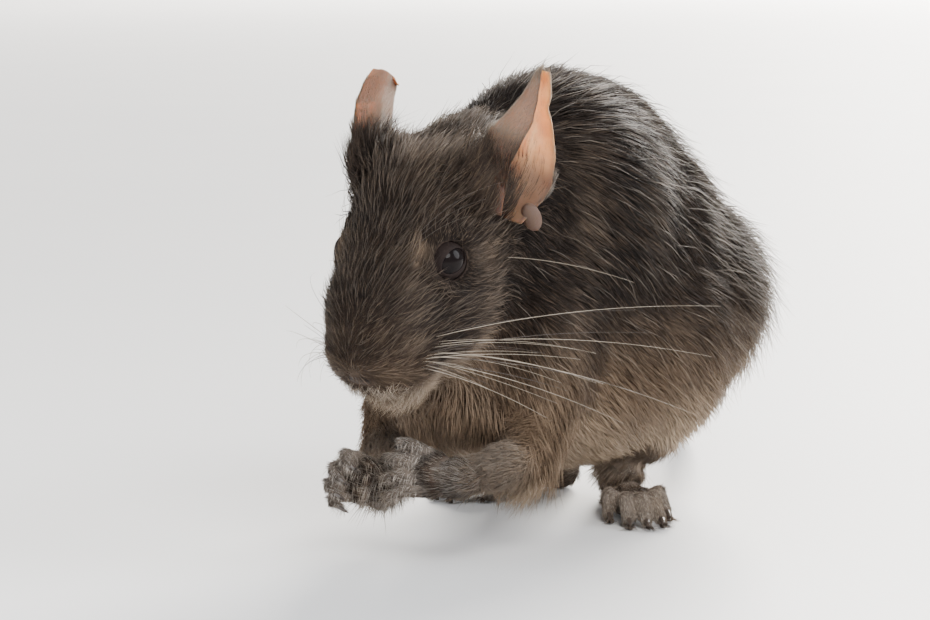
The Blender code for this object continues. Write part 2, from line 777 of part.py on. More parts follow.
NAPE_PLANES = {"head": ((34, 0, 86), (56, 0, 36)), "neck": ((17, 0, 88), (51, 0, 33))}
HAUNCH = ((-11, 30, 31), (27, 19, 28), -15)
ARM = ((35, 25, 33), (16, 14, 22), 0)
FOREARMS = {
    "left": [((41, 16.5, 19.5), 6.2), ((51, 16, 18), 5.0), ((60, 13, 17.5), 3.7)],
    "right": [((41, -16.5, 19.5), 6.2), ((50, -11, 15.5), 5.0), ((60.5, -3.5, 14.2), 3.7)],
}
HANDS = {
    "left": ((60, 13, 17.5), (0.36, -0.92, 0.14), (0.8, 0.36, 0.5), (-8, 38, 72)),
    "right": ((62, -2, 14.5), (0.55, -0.78, 0.3), (-0.8, -0.5, 0.1), (35, 88, 132)),
}
SHANKS = {
    "left": [((-9, 18, 20), 7.6), ((-6.5, 12.3, 12), 5.2), ((-5.5, 10, 8), 4.5)],
    "right": [((-9, -19, 20), 8.0), ((-9, -14.5, 11), 5.6), ((-9, -13.2, 8), 4.8)],
}


def plane_between(body, top, bottom):
    """A point and a forward normal of the plane through two points of the middle plane."""
    start, end = place(body, top), place(body, bottom)
    normal = (end - start).cross(aim(body, (0, 1, 0))).normalized()
    if normal.dot(aim(body, (1, 0, 0))) < 0:
        normal = -normal
    return start, normal


def build():
    clear_scene()
    parts = new_collection("degu")
    helpers = new_collection("helpers")
    body = frame_at((0, 0, 0), (0, -1, 0), (0, 0, 1))
    ahead, above = pitched(HEAD_PITCH)
    head_frame = frame_at(place(body, NOSE_TIP), aim(body, ahead), aim(body, above))

    bm = bmesh.new()
    add_trunk(bm, body, head_frame)
    torso = object_of("torso", bm, parts)
    blend(torso, BODY_VOXEL, 100, BODY_TRIANGLES)
    bm = bmesh.new()
    add_head(bm, head_frame, body)
    head = object_of("head", bm, parts)
    blend(head, HEAD_VOXEL, 60, HEAD_TRIANGLES)

    head_point, head_normal = plane_between(body, *NAPE_PLANES["head"])
    neck_point, neck_normal = plane_between(body, *NAPE_PLANES["neck"])
    keep_side(head, head_point + head_normal * GAP / 2, head_normal)
    keep_largest(head)
    neck = copy_of(torso, "neck", parts)
    keep_side(neck, head_point - head_normal * GAP / 2, -head_normal)
    keep_side(neck, neck_point + neck_normal * GAP / 2, neck_normal)
    keep_largest(neck)
    keep_side(torso, neck_point - neck_normal * GAP / 2, -neck_normal)
    keep_largest(torso)

    made = {"torso": torso, "neck": neck, "head": head}
    for word, side in SIDES.items():
        for part, (centre, radii, tilt) in (("thigh", HAUNCH), ("upper_arm", ARM)):
            spot = (centre[0], centre[1] * side, centre[2])
            name = f"{part}_{word}"
            made[name] = split_off(torso, name, body, spot, radii, tilt, parts, helpers)

    for word, side in SIDES.items():
        pad = whisker_pad(f"whisker_pad_{word}", head_frame, body, side, head, parts, helpers)
        made[pad.name] = pad

    for word, side in SIDES.items():
        eye, matrix = eye_ball(f"eye_{word}", head_frame, side, EYE_RADIUS, parts, 16)
        join_all(head, [lid_ring(matrix, helpers)])
        socket = eye_ball("socket", head_frame, side, EYE_RADIUS + GAP / MM, helpers, 16)[0]
        combine(head, socket, "DIFFERENCE")
        bpy.data.objects.remove(socket, do_unlink=True)
        made[f"eye_{word}"] = eye
    carve_face(head, head_frame, helpers)

    for word, side in SIDES.items():
        ear = ear_shell(f"ear_{word}", body, head_frame, side, parts)
        seat(ear, head, helpers)
        seat(ear, neck, helpers)
        made[ear.name] = ear

        bm = bmesh.new()
        add_limb(bm, body, FOREARMS[word])
        forearm = object_of(f"forearm_{word}", bm, parts)
        blend(forearm, HEAD_VOXEL, 4, LIMB_TRIANGLES)
        for neighbour in (made[f"upper_arm_{word}"], torso, neck):
            seat(forearm, neighbour, helpers)
        made[forearm.name] = forearm

        wrist, forward, back, curls = HANDS[word]
        frame = frame_at(place(body, wrist), aim(body, forward), aim(body, back))
        palm = hand(f"hand_{word}", frame, side, curls, parts, helpers)
        seat(palm, forearm, helpers)
        made[palm.name] = palm

        bm = bmesh.new()
        add_limb(bm, body, SHANKS[word])
        shank = object_of(f"shank_{word}", bm, parts)
        blend(shank, HEAD_VOXEL, 4, LIMB_TRIANGLES)
        for neighbour in (made[f"thigh_{word}"], torso):
            seat(shank, neighbour, helpers)
        made[shank.name] = shank

        splay = math.radians(FOOT_SPLAY[word])
        toes = aim(body, (math.cos(splay), math.sin(splay) * side, 0))
        frame = frame_at(place(body, (*HEEL[word], 0)), toes, (0, 0, 1))
        sole = foot(f"foot_{word}", frame, side, parts, helpers)
        seat(sole, shank, helpers)
        made[sole.name] = sole

    for neighbour in ("hand_right", "forearm_right"):
        seat(made["hand_left"], made[neighbour], helpers)
    for piece in tail_lengths(body, torso, parts, helpers):
        made[piece.name] = piece
    return made, parts


def slot_of(name):
    if name.startswith("ear"):
        return "ear_skin"
    if name.startswith("eye"):
        return "eye"
    if name.startswith("tail"):
        return "tail_coat"
    if name.startswith(("hand", "foot")):
        return "paw"
    if name.startswith(("shank", "forearm")):
        return "pale_coat"
    return "coat"


def centre_on_floor(objects):
    """Moves everything so that the origin is at the bottom centre of the whole animal's box."""
    corners = [v.co for obj in objects for v in obj.data.vertices]
    low = Vector([min(c[i] for c in corners) for i in range(3)])
    high = Vector([max(c[i] for c in corners) for i in range(3)])
    shift = Matrix.Translation(-Vector(((low.x + high.x) / 2, (low.y + high.y) / 2, low.z)))
    for obj in objects:
        obj.data.transform(shift)
    return shift.to_translation()


made, parts = build()
for name, obj in made.items():
    finish(obj, slot_of(name))
SHIFT = centre_on_floor(list(made.values()))
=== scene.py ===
"""The looks of the degu: its skin, a coat of solid hairs over it, eyes, ears, claws and whiskers.

Places on the animal are in millimetres as (forward, left, up) from a point on the floor below the middle of
the body, as in the part's source. Places on the head are (ahead of, left of, above) the tip of the nose,
along the pitched head.
"""

import math

import bmesh
import bpy
import numpy as np
from mathutils import Matrix, Vector
from mathutils.kdtree import KDTree


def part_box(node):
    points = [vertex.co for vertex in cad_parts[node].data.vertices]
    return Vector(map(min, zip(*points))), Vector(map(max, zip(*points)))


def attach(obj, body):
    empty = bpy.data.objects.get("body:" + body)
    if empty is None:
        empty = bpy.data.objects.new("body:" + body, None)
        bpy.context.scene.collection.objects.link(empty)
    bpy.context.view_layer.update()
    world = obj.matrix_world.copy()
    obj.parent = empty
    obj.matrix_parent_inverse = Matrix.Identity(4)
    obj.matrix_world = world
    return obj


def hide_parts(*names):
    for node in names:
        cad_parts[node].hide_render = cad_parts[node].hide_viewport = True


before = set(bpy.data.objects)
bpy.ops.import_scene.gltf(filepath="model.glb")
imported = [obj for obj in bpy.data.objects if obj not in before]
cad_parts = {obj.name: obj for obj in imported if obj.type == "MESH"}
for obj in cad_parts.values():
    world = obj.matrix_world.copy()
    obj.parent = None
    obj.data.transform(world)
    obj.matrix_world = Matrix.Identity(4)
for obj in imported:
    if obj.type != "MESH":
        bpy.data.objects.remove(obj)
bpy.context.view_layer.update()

MM = 0.001
SIDES = {"left": 1, "right": -1}
LUCK = np.random.default_rng(41)

# The animal's layout, with the same values as the part's source

NOSE_TIP = np.array((74.8, 0.0, 37.4))
HEAD_PITCH = math.radians(40.0)
EYE_PLACE = (-25.2, 10.6, 6.6)
EYE_AXIS = (0.22, 0.93, 0.28)
EYE_RADIUS = 3.9
FOREARMS = {
    "left": [((41, 16.5, 19.5), 6.2), ((60, 13, 17.5), 3.9)],
    "right": [((41, -16.5, 19.5), 6.2), ((60.5, -3.5, 14.2), 3.9)],
}
HANDS = {
    "left": ((60, 13, 17.5), (0.36, -0.92, 0.14), (0.8, 0.36, 0.5), (-8, 38, 72)),
    "right": ((62, -2, 14.5), (0.55, -0.78, 0.3), (-0.8, -0.5, 0.1), (35, 88, 132)),
}
SHANKS = {
    "left": [((-9, 18, 20), 7.6), ((-6.5, 12.3, 12), 5.2), ((-5.5, 10, 8), 4.5)],
    "right": [((-9, -19, 20), 8.0), ((-9, -14.5, 11), 5.6), ((-9, -13.2, 8), 4.8)],
}
HEEL = {"left": (-12.5, 3.8), "right": (-17.0, -10.0)}
FOOT_SPLAY = {"left": 44.0, "right": 27.0}
TAIL_ROUTE = [
    (-42, 0, 30),
    (-52, -2, 24.5),
    (-62, -6, 16.5),
    (-72, -12, 9),
    (-84, -21, 4.2),
    (-98, -33, 2.9),
    (-112, -45, 2.3),
    (-126, -54, 2.1),
    (-138, -59, 2.1),
]
NAPE, THROAT = np.array((34.0, 86.0)), np.array((56.0, 36.0))

EAR_HEIGHT, EAR_SUNK = 23.5, 6.0
EAR_ROOTS = {1: (-44.5, 15.0, 8.0), -1: (-44.5, -13.0, 9.5)}
EAR_UP = (-0.36, 0.22, 1.0)
EAR_FACING = (0.36, 0.95, 0.0)
EAR_CUP, EAR_LEAN = 5.0, 2.5
EAR_ROLL = {1: 148.0, -1: 105.0}
EAR_THICKNESS = 0.5
EAR_ROWS, EAR_COLUMNS = 54, 44
EAR_FINE_STEPS = 240
EAR_LEVELS = (0.0, 0.2, 0.3, 0.48, 0.6, 0.75, 0.87, 0.95, 1.0)
EAR_REAR = (3.2, 6.6, 7.6, 6.8, 5.2, 3.1, 2.0, 1.2, 0.3)
EAR_FRONT = (2.0, 5.0, 7.2, 8.3, 5.9, 3.4, 1.9, 1.2, 0.3)
EAR_FLAP = (0.6, 1.6, 2.8, 4.6, 3.8, 2.4, 1.3, 0.6, 0.1)
EAR_FOLD = (1.6, 1.8, 1.9, 1.8, 1.5, 0.9, 0.5, 0.3, 0.15)
CROPPED_SPREAD, CROPPED_FLAP, CROPPED_FOLD = 0.8, 3.0, 1.5
CROP_HEIGHT, CROP_SLOPE = 19.5, 0.6
LOBE, LOBE_RADII = (-42.4, 19.4, 1.8), (2.0, 1.7, 3.2)

AHEAD = np.array((math.cos(HEAD_PITCH), 0.0, -math.sin(HEAD_PITCH)))
ABOVE = np.array((math.sin(HEAD_PITCH), 0.0, math.cos(HEAD_PITCH)))


def on_head(place):
    """The body place of a point given on the head."""
    ahead, left, above = place
    return NOSE_TIP + ahead * AHEAD + np.array((0.0, left, 0.0)) + above * ABOVE


def mirrored(place, side):
    """A place or direction of the left side, on the given side."""
    return np.array(place) * (1, side, 1)


def find_shift():
    """Where the body's zero point lies in the frame, found from the two eyeballs."""
    ends = [Vector(corner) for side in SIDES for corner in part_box("eye_" + side)]
    middle = sum(ends, Vector()) / len(ends)
    eye = on_head((EYE_PLACE[0], 0.0, EYE_PLACE[2])) * MM
    return np.array((middle.x, middle.y + eye[0], middle.z - eye[2]))


SHIFT = find_shift()
EYES = {word: on_head(mirrored(EYE_PLACE, side)) for word, side in SIDES.items()}


def to_row(places):
    """Body places in millimetres as frame places in metres."""
    places = np.asarray(places, float)
    return SHIFT + np.stack([places[..., 1], -places[..., 0], places[..., 2]], -1) * MM


def to_body(points):
    """Frame places in metres as body places in millimetres."""
    points = (np.asarray(points, float) - SHIFT) / MM
    return np.stack([-points[..., 1], points[..., 0], points[..., 2]], -1)


def turned_to_row(ways):
    """Body directions as frame directions."""
    return np.stack([ways[..., 1], -ways[..., 0], ways[..., 2]], -1)


def turned_to_body(ways):
    """Frame directions as body directions."""
    return np.stack([-ways[..., 1], ways[..., 0], ways[..., 2]], -1)


def to_head(places):
    """Body places in the head's own directions: ahead, left and above the nose."""
    off = places - NOSE_TIP
    return np.stack([off @ AHEAD, off[..., 1], off @ ABOVE], -1)


def unit(ways):
    """Directions of length one."""
    return ways / np.maximum(np.linalg.norm(ways, axis=-1, keepdims=True), 1e-9)


def ramp(values, low, high):
    """0 below low, 1 above high and a soft step between them."""
    share = np.clip((values - low) / (high - low), 0, 1)
    return share * share * (3 - 2 * share)


def bump_at(values, middle, width):
    """1 at the middle, falling softly to 0 on both sides."""
    return np.exp(-(((values - middle) / width) ** 2))


def from_eyes(places):
    """How far each place is from the nearer eye's centre."""
    return np.min([np.linalg.norm(places - eye, axis=1) for eye in EYES.values()], axis=0)


def ahead_of_nape(places):
    """How far each place lies ahead of the line from the nape to the throat."""
    line = unit(THROAT - NAPE)
    return (places[:, 0] - NAPE[0]) * -line[1] + (places[:, 2] - NAPE[1]) * line[0]


def limb_frame(origin, forward, back):
    """Axes of a hand or foot in body directions: forward, its own left, and up through its back."""
    forward = unit(np.array(forward, float))
    left = unit(np.cross(np.array(back, float), forward))
    return np.array(origin, float), np.stack([forward, left, np.cross(forward, left)])


def ear_axes(side):
    """An ear's root and its axes in body directions: up, across, and out of its inner side."""
    up = unit(mirrored(EAR_UP, side))
    left = unit(np.cross(mirrored(EAR_FACING, side), up))
    root = on_head(EAR_ROOTS[side])
    return root, np.stack([up, left, np.cross(up, left)])


def foot_frame(word):
    """The place of a heel and the foot's axes, turned out by its splay."""
    splay = math.radians(FOOT_SPLAY[word])
    return limb_frame((*HEEL[word], 0.0), (math.cos(splay), math.sin(splay) * SIDES[word], 0.0), (0, 0, 1))


def smooth_route(points, steps):
    """Points on a smooth curve through the given ones."""
    given = np.array(points, float)
    given = np.vstack([2 * given[0] - given[1], given, 2 * given[-1] - given[-2]])
    rows = []
    for a, b, c, d in zip(given, given[1:], given[2:], given[3:]):
        bend, twist = 2 * a - 5 * b + 4 * c - d, 3 * b - a - 3 * c + d
        for t in np.arange(steps) / steps:
            rows.append(0.5 * (2 * b + (c - a) * t + bend * t**2 + twist * t**3))
    rows.append(given[-2])
    return np.array(rows)


TAIL = smooth_route(TAIL_ROUTE, 4)


def tail_radius(share):
    """The tail's radius at a share of its length."""
    return 2.3 + 2.7 * (1 - share) ** 1.3


# Meshes

def mesh_of(name, points, faces, smooth=True):
    """A mesh object from an array of points and an array or list of faces."""
    mesh = bpy.data.meshes.new(name)
    if isinstance(faces, np.ndarray):
        corners = faces.shape[1]
        mesh.vertices.add(len(points))
        mesh.vertices.foreach_set("co", np.asarray(points, np.float32).ravel())
        mesh.loops.add(faces.size)
        mesh.loops.foreach_set("vertex_index", faces.astype(np.int32).ravel())
        mesh.polygons.add(len(faces))
        mesh.polygons.foreach_set("loop_start", np.arange(0, faces.size, corners, dtype=np.int32))
        mesh.update(calc_edges=True)
    else:
        mesh.from_pydata([tuple(p) for p in points], [], faces)
        mesh.update()
    if smooth:
        mesh.shade_smooth()
    obj = bpy.data.objects.new(name, mesh)
    bpy.context.scene.collection.objects.link(obj)
    return obj


def arrays_of(mesh):
    """Vertex places, vertex normals and triangles of a mesh."""
    points = np.empty(len(mesh.vertices) * 3, np.float32)
    mesh.vertices.foreach_get("co", points)
    normals = np.empty(len(mesh.vertices) * 3, np.float32)
    mesh.vertex_normals.foreach_get("vector", normals)
    mesh.calc_loop_triangles()
    triangles = np.empty(len(mesh.loop_triangles) * 3, np.int32)
    mesh.loop_triangles.foreach_get("vertices", triangles)
    return points.reshape(-1, 3).astype(float), normals.reshape(-1, 3).astype(float), triangles.reshape(-1, 3)


def tube_mesh(path, radii, sides=8, squash=1.0, up=(0, 0, 1)):
    """Points and faces of a closed tube through row places, flattened across by squash."""
    path = np.asarray(path, float)
    along = unit(np.gradient(path, axis=0))
    across = unit(np.cross(along, np.array(up, float) + 1e-4))
    over = np.cross(across, along)
    turns = np.arange(sides) * 2 * math.pi / sides
    cosine, sine = np.cos(turns)[None, :, None], np.sin(turns)[None, :, None]
    rim = cosine * across[:, None] + squash * sine * over[:, None]
    points = (path[:, None] + rim * np.asarray(radii)[:, None, None]).reshape(-1, 3)
    faces = []
    for ring in range(len(path) - 1):
        for i in range(sides):
            j = (i + 1) % sides
            faces.append((ring * sides + i, ring * sides + j, (ring + 1) * sides + j, (ring + 1) * sides + i))
    last = (len(path) - 1) * sides
    faces.append(tuple(range(sides))[::-1])
    faces.append(tuple(range(last, last + sides)))
    return points, faces


def gather(pieces):
    """Several (points, faces) as one."""
    points, faces, start = [], [], 0
    for some, shapes in pieces:
        points.append(some)
        faces += [tuple(i + start for i in face) for face in shapes]
        start += len(some)
    return np.vstack(points), faces


# The skin

TRUNK = ["torso", "neck", "head", "tail_base", "tail_middle"] + [
    f"{part}_{side}" for side in SIDES for part in ("thigh", "upper_arm", "forearm", "shank")
]
PAWS = [f"{paw}_{side}" for side in SIDES for paw in ("hand", "foot")]
PADS = [f"whisker_pad_{side}" for side in SIDES]
PAD_CENTRE, PAD_RADII = (-10.5, 10.0, -3.0), (6.8, 4.6, 4.3)
PAD_BULGE, BULGE_RADII = (-10.5, 8.2, -3.0), (6.0, 4.5, 4.0)
BODY_VOXEL, PAW_VOXEL = 0.5, 0.3
TRUNK_ROUNDS, TRUNK_CALM = 40, 0.5
PAW_ROUNDS, PAW_CALM = 7, 0.12
CLOSING = 0.28
STUMPS = {
    "hand_left": ((62.5, 10, 17.6), (54, 15.4, 17.8)),
    "hand_right": ((62.2, -0.5, 14.6), (55, -7.6, 15)),
    "foot_left": ((-6.5, 8.8, 4.5), (-6.2, 12.0, 13)),
    "foot_right": ((-10, -12.4, 4.5), (-9, -14.6, 13)),
}
STUMP_RADII = {"hand": (2.6, 3.3, 3.6, 3.9, 3.6), "foot": (4.0, 4.6, 4.9, 5.0, 4.4)}


def grown_copy(bm, node, by):
    """Adds a copy of a solid to a mesh, grown outwards a little to close the gaps between the solids."""
    piece = bmesh.new()
    piece.from_mesh(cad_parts[node].data)
    bmesh.ops.remove_doubles(piece, verts=piece.verts[:], dist=1e-6)
    piece.normal_update()
    moves = [v.normal * by for v in piece.verts]
    for vert, move in zip(piece.verts, moves):
        vert.co += move
    mesh = bpy.data.meshes.new("copy")
    piece.to_mesh(mesh)
    piece.free()
    bm.from_mesh(mesh)
    bpy.data.meshes.remove(mesh)


def melted(name, nodes, voxel, by, extras=()):
    """One closed skin over several solids."""
    bm = bmesh.new()
    for node in nodes:
        grown_copy(bm, node, by)
    for points, faces in extras:
        verts = [bm.verts.new(p) for p in points]
        for face in faces:
            bm.faces.new([verts[i] for i in face])
    mesh = bpy.data.meshes.new(name)
    bm.to_mesh(mesh)
    bm.free()
    obj = bpy.data.objects.new(name, mesh)
    bpy.context.scene.collection.objects.link(obj)
    remesh = obj.modifiers.new("Melt", "REMESH")
    remesh.mode = "VOXEL"
    remesh.voxel_size = voxel * MM
    graph = bpy.context.evaluated_depsgraph_get()
    made = bpy.data.meshes.new_from_object(obj.evaluated_get(graph), depsgraph=graph)
    bpy.data.objects.remove(obj, do_unlink=True)
    return made


def relaxed(mesh, rounds, share):
    """Places of the vertices after some rounds of evening out, each vertex by its own share."""
    points = arrays_of(mesh)[0]
    edges = np.empty(len(mesh.edges) * 2, np.int32)
    mesh.edges.foreach_get("vertices", edges)
    edges = edges.reshape(-1, 2)
    ends, others = np.concatenate([edges[:, 0], edges[:, 1]]), np.concatenate([edges[:, 1], edges[:, 0]])
    count = np.maximum(np.bincount(ends, minlength=len(points)), 1)
    for _ in range(rounds):
        pull = np.stack([np.bincount(ends, points[others, k], len(points)) for k in range(3)], 1)
        points += share[:, None] * (pull / count[:, None] - points)
    return points


FINGER_SPREAD = (-3.9, -1.35, 1.3, 3.7)
FINGER_START = (5.8, 6.8, 6.7, 5.6)
FINGER_LENGTHS = (0.9, 1.0, 1.0, 0.86)
FINGER_BONES = (4.1, 3.4, 2.5)
TOE_SPREAD = (-4.6, -2.5, 0.0, 2.5, 4.5)
TOE_START = (16.5, 19.5, 20.0, 19.3, 16.0)
TOE_LENGTH = (6.6, 9.6, 10.6, 9.8, 6.8)


def finger_chains(word):
    """The joints of the four fingers of a hand, each with its radius, in body places."""
    wrist, forward, back, curls = HANDS[word]
    origin, axes = limb_frame(wrist, forward, back)
    chains = []
    for spread, start, size in zip(FINGER_SPREAD, FINGER_START, FINGER_LENGTHS):
        spread *= SIDES[word]
        knuckle = np.array((start, spread, 0.2))
        fan = math.radians(4.0 * spread)
        chain = [(knuckle, 1.4)]
        for bone, curl, radius in zip(FINGER_BONES, curls, (1.25, 1.12, 0.9)):
            turn = math.radians(curl)
            step = np.array((math.cos(turn), math.sin(fan) * math.cos(turn), -math.sin(turn)))
            knuckle = knuckle + step * bone * size
            chain.append((knuckle, radius))
        chains.append([(origin + spot @ axes, radius) for spot, radius in chain])
    return chains


def toe_chains(word):
    """The joints of the five toes of a foot, each with its radius, in body places."""
    side = SIDES[word]
    origin, axes = foot_frame(word)
    chains = []
    for spread, start, length in zip(TOE_SPREAD, TOE_START, TOE_LENGTH):
        spread *= side
        spots = [
            ((start, spread, 2.9), 2.0),
            ((start + 0.52 * length, 1.14 * spread, 4.9), 1.8),
            ((start + length, 1.36 * spread, 1.5), 1.4),
        ]
        chains.append([(origin + np.array(spot) @ axes, radius) for spot, radius in spots])
    return chains


def limbs():
    """Each limb as its kind and its chains of joints with radii."""
    rows = []
    for word in SIDES:
        rows.append(("forearm", [FOREARMS[word]]))
        rows.append(("shank", [SHANKS[word]]))
        wrist, forward, back, _ = HANDS[word]
        origin, axes = limb_frame(wrist, forward, back)
        palm = [(origin, 3.0), (origin + 6 * axes[0], 4.0)]
        rows += [("hand", [palm]), ("finger", finger_chains(word))]
        origin, axes = foot_frame(word)
        sole = [(origin + (0, 0, 3), 4.6), (origin + 15 * axes[0] + (0, 0, 3), 4.0)]
        rows += [("foot", [sole]), ("toe", toe_chains(word))]
    count = len(TAIL) - 1
    rows.append(("tail", [[(TAIL[i], tail_radius(i / count)) for i in range(3, count + 1)]]))
    return rows


def limb_field(places, chains):
    """How far each place lies outside the nearest length of a limb, its direction, and the share along."""
    best = np.full(len(places), 1e9)
    way = np.zeros((len(places), 3))
    along = np.zeros(len(places))
    for joints in chains:
        for i, ((start, first), (end, last)) in enumerate(zip(joints, joints[1:])):
            start, end = np.array(start, float), np.array(end, float)
            axis = end - start
            share = np.clip((places - start) @ axis / (axis @ axis), 0, 1)
            radius = first + (last - first) * share
            off = np.linalg.norm(places - start - share[:, None] * axis, axis=1) - radius
            nearer = off < best
            best = np.where(nearer, off, best)
            way[nearer] = axis / np.linalg.norm(axis)
            along[nearer] = (i + share[nearer]) / (len(joints) - 1)
    return best, way, along


LIMBS = limbs()

# Warmth, paleness and darkness of the coat on the limbs and on the paws
LIMB_MARKS = {
    "forearm": (0.32, 0.4, 0.3),
    "shank": (0.5, 0.42, 0.15),
    "tail": (0.15, 0.05, 0.9),
}
PAW_MARKS = {
    "hand": (0.05, 0.3, 0.7),
    "finger": (0.08, 0.4, 0.5),
    "foot": (0.3, 0.42, 0.3),
    "toe": (0.22, 0.62, 0.2),
}
PAW_LIMBS = [number for number, (kind, _) in enumerate(LIMBS) if kind in PAW_MARKS]
PAW_OF = {"forearm": "hand", "shank": "foot"}

# The coat's recipe by region: length, width, lift in degrees, depth, hairs per square mm, clumping
RECIPES = {
    "back": (9.5, 0.27, 15, 2.1, 3.6, 0.6),
    "rump": (11.0, 0.27, 24, 2.8, 3.4, 0.62),
    "flank": (8.0, 0.25, 15, 1.8, 3.6, 0.55),
    "belly": (7.0, 0.25, 20, 1.8, 3.0, 0.45),
    "neck": (7.0, 0.24, 17, 1.7, 4.4, 0.55),
    "crown": (5.4, 0.21, 18, 1.3, 7.5, 0.6),
    "face": (4.4, 0.19, 17, 0.9, 9.5, 0.55),
    "muzzle": (3.0, 0.17, 20, 0.7, 12.0, 0.45),
    "chin": (4.2, 0.16, 28, 1.0, 11.0, 0.4),
    "forearm": (5.8, 0.2, 19, 1.1, 9.0, 0.5),
    "hand": (2.7, 0.14, 8, 0.12, 20.0, 0.4),
    "finger": (1.9, 0.13, 7, 0.1, 24.0, 0.35),
    "shank": (4.8, 0.19, 14, 1.3, 9.0, 0.45),
    "foot": (2.9, 0.15, 10, 0.15, 18.0, 0.4),
    "toe": (1.8, 0.13, 10, 0.12, 26.0, 0.3),
    "tail": (4.0, 0.16, 17, 0.7, 10.0, 0.3),
}
REGIONS = list(RECIPES)
SHORT_COATED = ("crown", "face", "muzzle", "chin", *PAW_MARKS, "tail", "forearm", "shank")
NOSTRIL, NOSTRIL_RADII = (-0.9, 2.0, -1.9), (1.6, 1.0, 0.6)
NOSE_PAD, NOSE_RADII = (-0.8, 0.0, -2.3), (2.7, 2.8, 1.5)
BROW_PATCH, CHEEK_PATCH = (-21.0, 9.8, 11.5), (-30.0, 13.5, 1.0)


def body_regions(places, normals):
    """How much of each region of head and trunk the places are, and the head's share."""
    f, _, u = places.T
    n_left, n_up = normals[:, 1], normals[:, 2]
    ahead, _, above = to_head(places).T
    head = ramp(ahead_of_nape(places), -5, 4) * ramp(u, 24, 27)
    part = {name: np.zeros(len(places)) for name in REGIONS}

    chin = ramp(-above, 7, 10) * ramp(ahead, -26, -16)
    muzzle = ramp(ahead, -17, -6)
    crown = ramp(-ahead, 26, 36) * ramp(above, -4, 8)
    ruff = 0.75 * ramp(-ahead, 27, 37) * ramp(-above, -5, 4)
    part["chin"] = head * chin
    rest = head * (1 - chin)
    part["muzzle"] = rest * muzzle
    rest = rest * (1 - muzzle)
    part["crown"] = rest * crown
    rest = rest * (1 - crown)
    part["face"] = rest * (1 - ruff)

    trunk = 1 - head
    neck = ramp(f, 14, 34)
    belly = ramp(-n_up, 0.25, 0.75) * ramp(-u, -34, -18)
    rump = ramp(-f, 4, 34) * ramp(u, 16, 34)
    flank = ramp(np.abs(n_left), 0.45, 0.85) * ramp(-u, -60, -40)
    part["belly"] = trunk * belly
    trunk = trunk * (1 - belly)
    part["neck"] = trunk * neck + rest * ruff
    trunk = trunk * (1 - neck)
    part["rump"] = trunk * rump
    part["flank"] = trunk * (1 - rump) * flank
    part["back"] = trunk * (1 - rump) * (1 - flank)
    return part, head


def body_lie(places, normals, head):
    """Which way the coat lies on head and trunk: backward and down, away from the eyes, and up the ears."""
    f, left, u = places.T
    _, beside, above = to_head(places).T
    lie_trunk = np.stack([-np.ones(len(places)), 0.05 * left / 20, -0.25 - 0.75 * np.abs(normals[:, 1])], 1)
    lie_trunk[:, 2] -= 0.7 * ramp(-f, 20, 45)
    lie_trunk[:, 0] += 0.75 * ramp(f, 20, 45) * ramp(-u, -50, -30)
    lie_head = np.outer(-np.ones(len(places)), AHEAD)
    lie_head[:, 1] += 0.035 * beside
    lie_head -= np.outer(0.45 * ramp(-above, -2, 8) + 0.12 * np.abs(beside) / 12, ABOVE)
    for eye in EYES.values():
        off = places - eye
        lie_head += 1.8 * unit(off) * bump_at(np.linalg.norm(off, axis=1), 3.5, 3.2)[:, None]
    lie = unit(lie_head) * head[:, None] + unit(lie_trunk) * (1 - head[:, None])
    for side in SIDES.values():
        root, axes = ear_axes(side)
        around = 1 - ramp(np.linalg.norm(places - root, axis=1), 6.5, 11.0)
        lie = lie * (1 - 0.8 * around[:, None]) + (0.8 * axes[0] + 0.3 * axes[2]) * around[:, None]
    return lie


def coat_fields(places, normals):
    """For places on the skin: how much of each region they are, with a mask of painted shade between fingers
    and toes, the coat's lie, and the limb they are on.
    """
    part, head = body_regions(places, normals)
    lie = body_lie(places, normals, head)
    up = places[:, 2]
    part["crease"] = np.zeros(len(places))
    owner = np.full(len(places), -1)
    for number, (kind, chains) in enumerate(LIMBS):
        joints = np.array([spot for chain in chains for spot, _ in chain])
        near = np.flatnonzero(np.all((places > joints.min(0) - 12) & (places < joints.max(0) + 12), axis=1))
        off, way, along = limb_field(places[near], chains)
        share = 1 - ramp(off, 0.8, 3.2)
        if kind == "foot":
            share = share * (1 - ramp(up[near], 8, 11))
        end = 0 * along
        if kind in PAW_OF:
            share = share * ramp(along, 0.0, 0.3)
            end = 0.5 * ramp(along, 0.85, 1.0)
        for name in REGIONS:
            part[name][near] *= 1 - share
        part[kind][near] += share * (1 - end)
        part[PAW_OF.get(kind, kind)][near] += share * end
        lie[near] = lie[near] * (1 - share[:, None]) + way * share[:, None]
        # Painted shade: darker away from the middle of each finger and toe, down its sides and into the gaps
        # between them.
        if kind in ("finger", "toe"):
            part["crease"][near] = np.maximum(part["crease"][near], share * ramp(off, 0.15, 0.8))
        owner[near[share > 0.5]] = number
    return part, lie, owner


def recipe_at(part):
    """The coat's numbers at each place, mixed from the regions."""
    table = np.array([RECIPES[name] for name in REGIONS])
    shares = np.stack([part[name] for name in REGIONS], 1)
    shares /= np.maximum(shares.sum(1, keepdims=True), 1e-6)
    return shares @ table


def wander(places, scale, seed):
    """A smooth uneven value from about -1 to 1 that changes over some millimetres."""
    luck = np.random.default_rng(seed)
    total = np.zeros(len(places))
    for size in (1.0, 0.53, 0.29):
        ways = unit(luck.normal(size=(4, 3))) / (scale * size)
        total += size * np.sin(places @ ways.T * 2 * math.pi + luck.uniform(0, 6.28, 4)).sum(1)
    return total / 3.0


